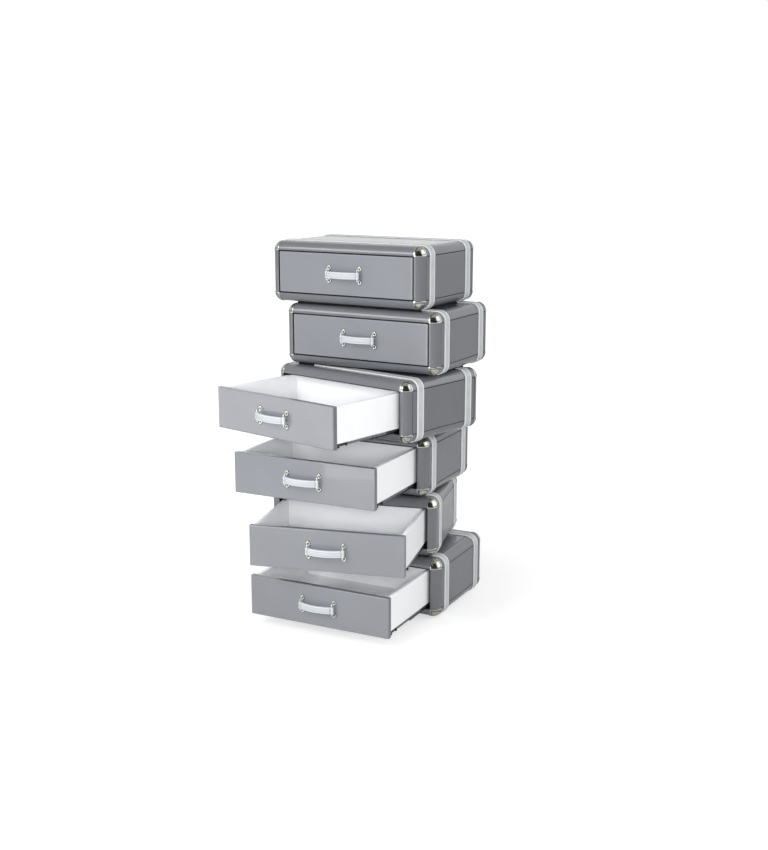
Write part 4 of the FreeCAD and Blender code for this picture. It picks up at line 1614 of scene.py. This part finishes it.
@dataclass(frozen=True)
class HandleLoops:
    """Two loops of round bar on pointed lugs that hold the grip.

    Args:
        half_span: middle of the grip to each loop.
        face_y: the drawer front's face, from the middle of the case.
        rod_y: middle of the bar.
        half_height: middle of the loop to its lugs.
        bar: radius of the bar.
        bend: bend of the bar.
        width: width of a lug.
        point: point of a lug beyond the bar.
        arch: radius of its two long arcs.
        thickness: thickness of a lug.
        profile: (share of the way to the bar, share of the thickness) from a lug's foot inwards.
        hollow: shares of the way over which the painted shade in a lug's hollow sets in.
        seat: (scale of a lug's outline, height) of the dark ring under a lug, a painted shade round
            it, from its face down.
    """

    half_span: float = 64.0
    face_y: float = -212.0
    rod_y: float = -228.0
    half_height: float = 23.0
    bar: float = 2.5
    bend: float = 6.0
    width: float = 17.0
    point: float = 9.5
    arch: float = 11.5
    thickness: float = 2.6
    profile: tuple[tuple[float, float], ...] = (
        (0, 0), (0, 0.45), (0.02, 0.68), (0.08, 0.88), (0.18, 0.98), (0.28, 1), (0.38, 0.96),
        (0.46, 0.82), (0.52, 0.5), (0.56, 0.34), (0.61, 0.32), (0.65, 0.42), (0.76, 0.42))
    hollow: tuple[float, float] = (0.46, 0.56)
    seat: tuple[tuple[float, float], ...] = ((1.1, 0.8), (1.14, 0.6), (1.15, 0.3), (1.13, 0.0))

    def rod(self, form: Form, side: float) -> None:
        """Adds a bar: a circle carried out of the front, down in front of it and back."""
        out = self.rod_y + self.bend
        upper = arc((out, self.half_height - self.bend), self.bend, 90, 180, 10)
        way = np.concatenate([[(self.face_y, self.half_height)], upper, upper[::-1] * [1, -1],
                              [(self.face_y, -self.half_height)]])
        ahead = np.gradient(way, axis=0)
        ahead /= np.linalg.norm(ahead, axis=1, keepdims=True)
        path = np.stack([np.full(len(way), side * self.half_span), way[:, 0], way[:, 1]], -1)
        normal = np.stack([np.zeros(len(way)), -ahead[:, 1], ahead[:, 0]], -1)
        across = np.tile([1.0, 0.0, 0.0], (len(way), 1))
        points = carried(arc((0, 0), self.bar, 0, 360, 16), path, across, normal)
        form.solid(points)

    def outline(self) -> Array:
        """A lug's outline about its bar: half a circle below, two arcs that meet at a point above.

        Returns:
            Points, n by 2, closed, from the right side round the bottom.
        """
        half = self.width / 2
        low = arc((0, 0), half, 0, -180, 14)
        chord = math.hypot(half, self.point)
        drop = math.sqrt(self.arch ** 2 - chord ** 2 / 4)
        middle = np.array([-half, self.point]) / 2
        lean = np.array([self.point, -half]) / chord
        centre = middle + lean * drop
        angles = [math.degrees(math.atan2(*(np.array(p) - centre)[::-1])) % 360
                  for p in ((-half, 0.0), (0.0, self.point))]
        left = arc(centre, self.arch, angles[0], angles[1], 8)
        right = (left * [-1, 1])[::-1]
        return np.concatenate([low[:-1], left, right[1:]])

    def seat_shade(self, form: Form, middle: Sequence[float], end: float) -> None:
        """Adds a dark rubber ring under a lug, a painted shade round it: the lug's outline, a little
        larger, with an eased edge.
        """
        scale, rise = np.array(self.seat).T
        flat = self.outline() * [1, end] * scale[:, None, None]
        form.solid(FRONT.points(flat[::-1], rise[::-1], middle))

    def lug(self, form: Form, middle: Sequence[float], end: float) -> None:
        """Adds a lug: its outline drawn in towards the bar, with a bead round a hollow.

        At each share from the border to the bar, the outline is scaled by one less the share, and
        stands at the height that the profile gives.
        """
        inward, rise = np.array(self.profile).T
        ring = self.outline() * [1, end]
        flat = ring[None] * (1 - inward)[:, None, None]
        # painted shade: darker towards the lug's hollow, by the crease tone
        hollow = np.interp(inward, self.hollow, (0, 1))
        tone = np.stack([np.broadcast_to(hollow[:, None], flat.shape[:2]),
                         np.zeros(flat.shape[:2])], -1)
        form.solid(FRONT.points(flat, rise * self.thickness, middle), None, tone)

    def build(self, level: Level, finishes: Finishes) -> None:
        """Adds both loops, their four lugs and the dark rings of painted shade under them."""
        form, seat_shades = Form(), Form()
        for side in SIDES:
            self.rod(form, side)
            for end in SIDES:
                middle = side * self.half_span, self.face_y, end * self.half_height
                self.lug(form, middle, end)
                self.seat_shade(seat_shades, middle, end)
        body = level.body(Ride.DRAWER)
        dress(form.mesh(f"drawer_{level.number}_loops", level, Ride.DRAWER), finishes.polished,
              body, f"drawer_{level.number}_handle_loops")
        dress(seat_shades.mesh(f"drawer_{level.number}_washers", level, Ride.DRAWER), finishes.rubber,
              body)


# ------------------------------------------------------------------ slides

@dataclass(frozen=True)
class DrawerRunner:
    """What the drawer carries of its slides: steel hoods, dark nose sleeves, dark rear guides that
    paint the shade inside the case's opening, and release latches.

    Args:
        outer, inner: the hood's edges, from the middle of the case.
        top: top of the hood, under the box's side.
        sheet: thickness of the steel.
        drop: how far its sides hang below its top plate.
        start, end: its front and rear end.
        nose: length of the plastic sleeve over its front end.
        shaded_guide: length of the dark plastic guide at its rear end, which stands in for the shade
            inside the case's opening: painted shade.
        joint: gap between the hood and the plastic at its ends.
        bend: bend of the sheet at the hood's upper edges.
        chamfer: share of its section that a solid bar keeps at its ends.
        clips: front and rear end, lower and upper face of the clips on its outer side.
        clip_half, clip_out: half their width, and their middle outside the hood.
        clip_corner: rounding of their edges.
        latch: width of the latch.
        latch_low, latch_high: its lower and upper face.
        latch_start, latch_end: its front and rear end.
        latch_play, latch_corner: how much narrower the block is, and its corner radius.
        lever_half, lever_rise: half the lever's height, and its middle above the latch's foot.
        lever_corner: rounding of its edges.
        lever_front, lever_rear: its ends, in front of and behind the front of the latch.
    """

    outer: float = 272.0
    inner: float = 246.0
    top: float = -56.5
    sheet: float = 1.5
    drop: float = 7.0
    start: float = -190.0
    end: float = 155.0
    nose: float = 52.0
    shaded_guide: float = 92.0
    joint: float = 0.3
    bend: float = 2.0
    chamfer: float = 0.96
    clips: tuple[tuple[float, float, float, float], ...] = (
        (-191.0, -179.0, -70.0, -57.5), (-147.0, -140.5, -67.5, -58.5))
    clip_half: float = 1.7
    clip_out: float = 1.9
    clip_corner: float = 1.0
    latch: float = 16.0
    latch_low: float = -63.0
    latch_high: float = -43.5
    latch_start: float = -181.0
    latch_end: float = -139.0
    latch_play: float = 0.4
    latch_corner: float = 2.0
    lever_half: float = 2.2
    lever_rise: float = 4.0
    lever_corner: float = 1.2
    lever_front: float = 8.0
    lever_rear: float = 6.0

    def hood(self) -> Array:
        """Section of the hood in x and z: a channel of sheet that is open below."""
        low, under = self.top - self.sheet - self.drop, self.top - self.sheet
        x0, x1, bend = self.inner, self.outer, self.bend
        right = arc((x1 - bend, self.top - bend), bend, 0, 90, 4)
        left = arc((x0 + bend, self.top - bend), bend, 90, 180, 4)
        inside = [(x0 + self.sheet, low), (x0 + self.sheet, under), (x1 - self.sheet, under),
                  (x1 - self.sheet, low), (x1, low)]
        return np.concatenate([[(x1, low)], right, left, [(x0, low)], inside])

    def run(self, form: Form, section: Array, side: float, start: float, end: float,
            tip: float = 1.0) -> None:
        """Adds a bar: a closed section in x and z carried from front to rear.

        Over its first and last millimetre the section shrinks about its middle, to the share tip.
        A channel keeps its whole section, so that it clears the member inside it.

        Args:
            form: what it is added to.
            section: its section, for the right side of the drawer.
            side: side of the drawer, -1 or 1.
            start: its front end.
            end: its rear end.
            tip: share of the section that its ends keep.
        """
        y = np.array([start, start + 1.0, end - 1.0, end])
        scale = np.array([tip, 1.0, 1.0, tip])[:, None]
        middle = (section.min(0) + section.max(0)) / 2
        x = middle[0] + (section[:, 0] - middle[0]) * scale
        z = middle[1] + (section[:, 1] - middle[1]) * scale
        form.solid(np.stack([side * x, np.repeat(y[:, None], len(section), 1), z], -1))

    def block(self) -> Array:
        """Section of the latch's block."""
        half = (self.latch - self.latch_play) / 2, (self.latch_high - self.latch_low) / 2
        middle = self.inner - self.latch / 2, (self.latch_low + self.latch_high) / 2
        return rectangle(*half, self.latch_corner)[0] + middle

    def lever(self) -> Array:
        """Section of the latch's lever, which stays clear of the hood."""
        middle = self.inner - self.latch / 2, self.latch_low + self.lever_rise
        return rectangle(self.latch / 2, self.lever_half, self.lever_corner)[0] + middle

    def build(self, level: Level, finishes: Finishes) -> None:
        """Adds the hoods, and the dark plastic that goes with them; the rear guides are painted shade.
        """
        steel, plastic = Form(), Form()
        number = level.number
        hood, block, lever = self.hood(), self.block(), self.lever()
        nose_end, shaded_guide_start = self.start + self.nose, self.end - self.shaded_guide
        for side in SIDES:
            self.run(steel, hood, side, nose_end, shaded_guide_start)
            self.run(plastic, hood, side, self.start, nose_end - self.joint)
            # painted shade: the dark rear guide stands in for the shade on the hood inside the opening
            self.run(plastic, hood, side, shaded_guide_start + self.joint, self.end)
            for near, far, low, high in self.clips:
                clip = rectangle(self.clip_half, (high - low) / 2, self.clip_corner)[0]
                clip = clip + (self.outer + self.clip_out, (low + high) / 2)
                self.run(plastic, clip, side, near, far, self.chamfer)
            self.run(plastic, block, side, self.latch_start, self.latch_end, self.chamfer)
            self.run(plastic, lever, side, self.latch_start - self.lever_front,
                     self.latch_start + self.lever_rear, self.chamfer)
        body = level.body(Ride.DRAWER)
        dress(steel.mesh(f"drawer_{number}_hoods", level, Ride.DRAWER), finishes.steel, body,
              f"drawer_{number}_rails")
        dress(plastic.mesh(f"drawer_{number}_latches", level, Ride.DRAWER), finishes.plastic, body,
              f"drawer_{number}_rails")


# ------------------------------------------------------------------ studio

@dataclass(frozen=True)
class Softbox:
    """A rectangular lamp that faces the middle of the stack.

    Args:
        name: name of the lamp.
        place: where it hangs, in metres.
        size: its width and height, in metres.
        radiance: its brightness, where 1 is white.
        target: what it faces, in metres.
        mirrored: whether glossy surfaces show it.
    """

    name: str
    place: tuple[float, float, float]
    size: tuple[float, float]
    radiance: float
    target: tuple[float, float, float] = (0.0, -0.1, 0.7)
    mirrored: bool = True

    def build(self) -> None:
        """Hangs the lamp: its power is radiance times pi times its area."""
        lamp = bpy.data.lights.new(self.name, "AREA")
        lamp.shape = "RECTANGLE"
        lamp.size, lamp.size_y = self.size
        lamp.energy = self.radiance * math.pi * self.size[0] * self.size[1]
        holder = bpy.data.objects.new(self.name, lamp)
        holder.location = self.place
        aim = np.array(self.target) - np.array(self.place)
        holder.rotation_euler = Vector(aim).to_track_quat("-Z", "Y").to_euler()
        holder.visible_camera = False
        holder.visible_glossy = self.mirrored
        bpy.context.scene.collection.objects.link(holder)


@dataclass(frozen=True)
class SoftSun:
    """A distant soft light that is even over the whole floor.

    Args:
        name: name of the lamp.
        azimuth: where it stands, in degrees to the right of the drawers' fronts.
        elevation: its height above the horizon, in degrees.
        level: how bright it makes a white surface that faces it, where 1 is white.
        spread: its apparent width, in degrees.
    """

    name: str
    azimuth: float
    elevation: float
    level: float
    spread: float

    def build(self) -> None:
        """Hangs the lamp: its strength is the level times pi."""
        lamp = bpy.data.lights.new(self.name, "SUN")
        lamp.energy = self.level * math.pi
        lamp.angle = math.radians(self.spread)
        holder = bpy.data.objects.new(self.name, lamp)
        holder.rotation_euler = (math.radians(90 - self.elevation), 0.0, math.radians(self.azimuth))
        bpy.context.scene.collection.objects.link(holder)


@dataclass(frozen=True)
class Studio:
    """Pale floor, soft light and the camera.

    Args:
        ambient: brightness of the room's light.
        mirrored: brightness of the room in a reflection.
        dim: brightness of its dark end there, as a share.
        dark_end: direction of the dark end.
        cone: cosines from that direction over which the dark end sets in.
        horizon: heights over which it sets in, as sines.
        overhead: heights over which the room darkens overhead, as sines.
        overhead_dark: how dark it is there, as a share of the dark end.
        floor_white: colour of the floor, 0 to 1.
        floor_glow: what the floor adds of its own in the picture and in reflections.
        far_floor_glow: what it adds on top of that away from the stack, where it meets the backdrop;
            with less of it near the stack, the floor there is greyer, a painted shade round the stack.
        fade: distances from the stack over which that sets in, in metres.
        floor_mirrored: share of the floor's glow that a reflection shows.
        lens: focal length, in millimetres on a 36 mm sensor.
        camera: place of the camera, in metres.
        tilt: how far it looks down, in degrees.
        pan: its turn about the vertical, in degrees.
    """

    ambient: float = 0.45
    mirrored: float = 0.88
    dim: float = 0.05
    dark_end: tuple[float, float, float] = (0.42, -0.84, 0.34)
    cone: tuple[float, float] = (0.55, 0.75)
    horizon: tuple[float, float] = (-0.05, 0.1)
    overhead: tuple[float, float] = (0.6, 0.9)
    overhead_dark: float = 0.5
    floor_white: float = 0.6
    floor_glow: float = 0.54
    far_floor_glow: float = 0.24
    fade: tuple[float, float] = (0.45, 1.3)
    floor_mirrored: float = 0.2
    lens: float = 52.94
    camera: tuple[float, float, float] = (2.08172, -4.17114, 1.7060)
    tilt: float = 12.59
    pan: float = 26.66

    def build(self) -> None:
        """Sets the stage."""
        self.world()
        self.floor()
        for lamp in (
            SoftSun("key_light", -25, 35, 0.06, 14),
            SoftSun("side_light", 110, 25, 0.345, 70),
            Softbox("front_box", (2.08, -4.17, 1.6), (0.8, 0.8), 42.0, mirrored=False),
            Softbox("front_softbox", (-1.6, -3.3, 2.95), (2.4, 1.3), 5.2),
            Softbox("left_strip", (-0.55, -2.5, 0.95), (0.9, 1.9), 2.4),
            Softbox("left_panel", (-2.7, -1.9, 0.5), (1.2, 1.0), 1.45),
        ):
            lamp.build()
        self.eye()

    def world(self) -> None:
        """White where it is seen, an even light elsewhere, and a dark end in reflections.

        The dark end is a cone about one direction in front of the drawers, above the horizon. The
        room is also darker overhead. Each direction has the darker of the two.
        """
        world = bpy.data.worlds.new("studio")
        world.use_nodes = True
        bpy.context.scene.world = world
        graph = Graph(world.node_tree)
        way = graph.node("ShaderNodeTexCoord").outputs["Generated"]
        parts = graph.node("ShaderNodeSeparateXYZ", None, {0: way})
        up = Value(graph, parts.outputs[2])
        nearness = graph.node("ShaderNodeVectorMath", {"operation": "DOT_PRODUCT"},
                              {0: way, 1: self.dark_end})
        ahead = Value(graph, nearness.outputs["Value"]).between(*self.cone) * up.between(*self.horizon)
        above = up.between(*self.overhead) * self.overhead_dark
        mirrored = (1.0 - ahead.math("MAXIMUM", above) * (1.0 - self.dim)) * self.mirrored
        camera, glossy, clear = self.rays(graph)
        rest, mirror, white = (
            graph.node("ShaderNodeBackground", None, {"Color": (1, 1, 1, 1), "Strength": strength})
            for strength in (self.ambient, mirrored, 1.0))
        shown = camera.math("MAXIMUM", clear)
        first = graph.node("ShaderNodeMixShader", None, {0: glossy, 1: rest.outputs[0],
                                                         2: mirror.outputs[0]})
        last = graph.node("ShaderNodeMixShader", None, {0: shown, 1: first.outputs[0],
                                                        2: white.outputs[0]})
        graph.node("ShaderNodeOutputWorld", None, {"Surface": last.outputs[0]})

    @staticmethod
    def rays(graph: Graph) -> tuple[Value, ...]:
        """Whether a ray is from the camera, from a reflection or through glass, each 0 or 1."""
        path = graph.node("ShaderNodeLightPath")
        return tuple(Value(graph, path.outputs[name]) for name in (
            "Is Camera Ray", "Is Glossy Ray", "Is Transmission Ray"))

    def floor(self) -> None:
        """A wide pale floor, a disc of rings about the stack."""
        radius = np.array([0.0, 0.5, 1, 2, 4, 8, 16, 40])[:, None] * 1000
        turn = np.radians(np.linspace(0, 360, 65))[None]
        points = np.stack([radius * np.cos(turn), radius * np.sin(turn), radius * turn * 0], -1)
        form = Form()
        form.grid(points)
        piece = form.mesh("floor", outward=False)
        piece.data.flip_normals()
        material, graph = new_material("pale_floor")
        tone = graph.noise(400, 2).between(0.2, 0.8) * 0.01 + self.floor_white
        colour = graph.node("ShaderNodeCombineColor", None, {0: tone, 1: tone, 2: tone})
        matt = graph.node("ShaderNodeBsdfDiffuse", None, {"Color": colour.outputs[0]})
        reach = graph.node("ShaderNodeVectorMath", {"operation": "LENGTH"}, {0: graph.place()})
        # painted shade: the floor glows less near the stack than away from it
        away = Value(graph, reach.outputs["Value"]).between(*self.fade) * self.far_floor_glow
        camera, glossy, clear = self.rays(graph)
        seen = camera.math("MAXIMUM", glossy * self.floor_mirrored).math("MAXIMUM", clear)
        glow = graph.node("ShaderNodeEmission", None, {
            "Color": (1, 1, 1, 1), "Strength": seen * (away + self.floor_glow)})
        both = graph.node("ShaderNodeAddShader", None, {0: matt.outputs[0], 1: glow.outputs[0]})
        graph.node("ShaderNodeOutputMaterial", None, {"Surface": both.outputs[0]})
        piece.data.materials.append(material)

    def eye(self) -> None:
        """The camera."""
        data = bpy.data.cameras.new("camera")
        data.lens = self.lens
        data.sensor_width = 36.0
        data.clip_end = 200.0
        holder = bpy.data.objects.new("camera", data)
        holder.location = self.camera
        holder.rotation_euler = (math.radians(90 - self.tilt), 0.0, math.radians(self.pan))
        bpy.context.scene.collection.objects.link(holder)
        bpy.context.scene.camera = holder


# ------------------------------------------------------------------ the whole

def corners(pair: Iterable[Any]) -> list[list[float]]:
    """Two corners as plain lists."""
    return [list(map(float, corner)) for corner in pair]


def main() -> None:
    """Builds the studio and every level."""
    logging.basicConfig(level=logging.INFO, format="%(name)s %(message)s")
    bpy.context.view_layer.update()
    bpy.context.scene.view_settings.view_transform = "Standard"
    Studio().build()
    finishes = Finishes()
    case = CaseShell()
    makers = (case, CornerCap(case), Strap(case), OpeningShadeStrip(case), DrawerFront(case), DrawerBox(),
              LeatherGrip(), HandleLoops(), DrawerRunner())
    levels = [read_level(number) for number in LEVELS]
    for level in levels:
        for maker in makers:
            maker.build(level, finishes)
        recoat(f"slide_{level.number}_middle", finishes.steel)
    for lower, upper in zip(levels, levels[1:]):
        StackShadeStrip(case).build(lower, upper, finishes)
    recoat("cabinet_rails", finishes.steel)
    recoat("stack_pads", finishes.rubber)
    recoat("floor_glides", finishes.plastic)


if __name__ == "__main__":
    main()
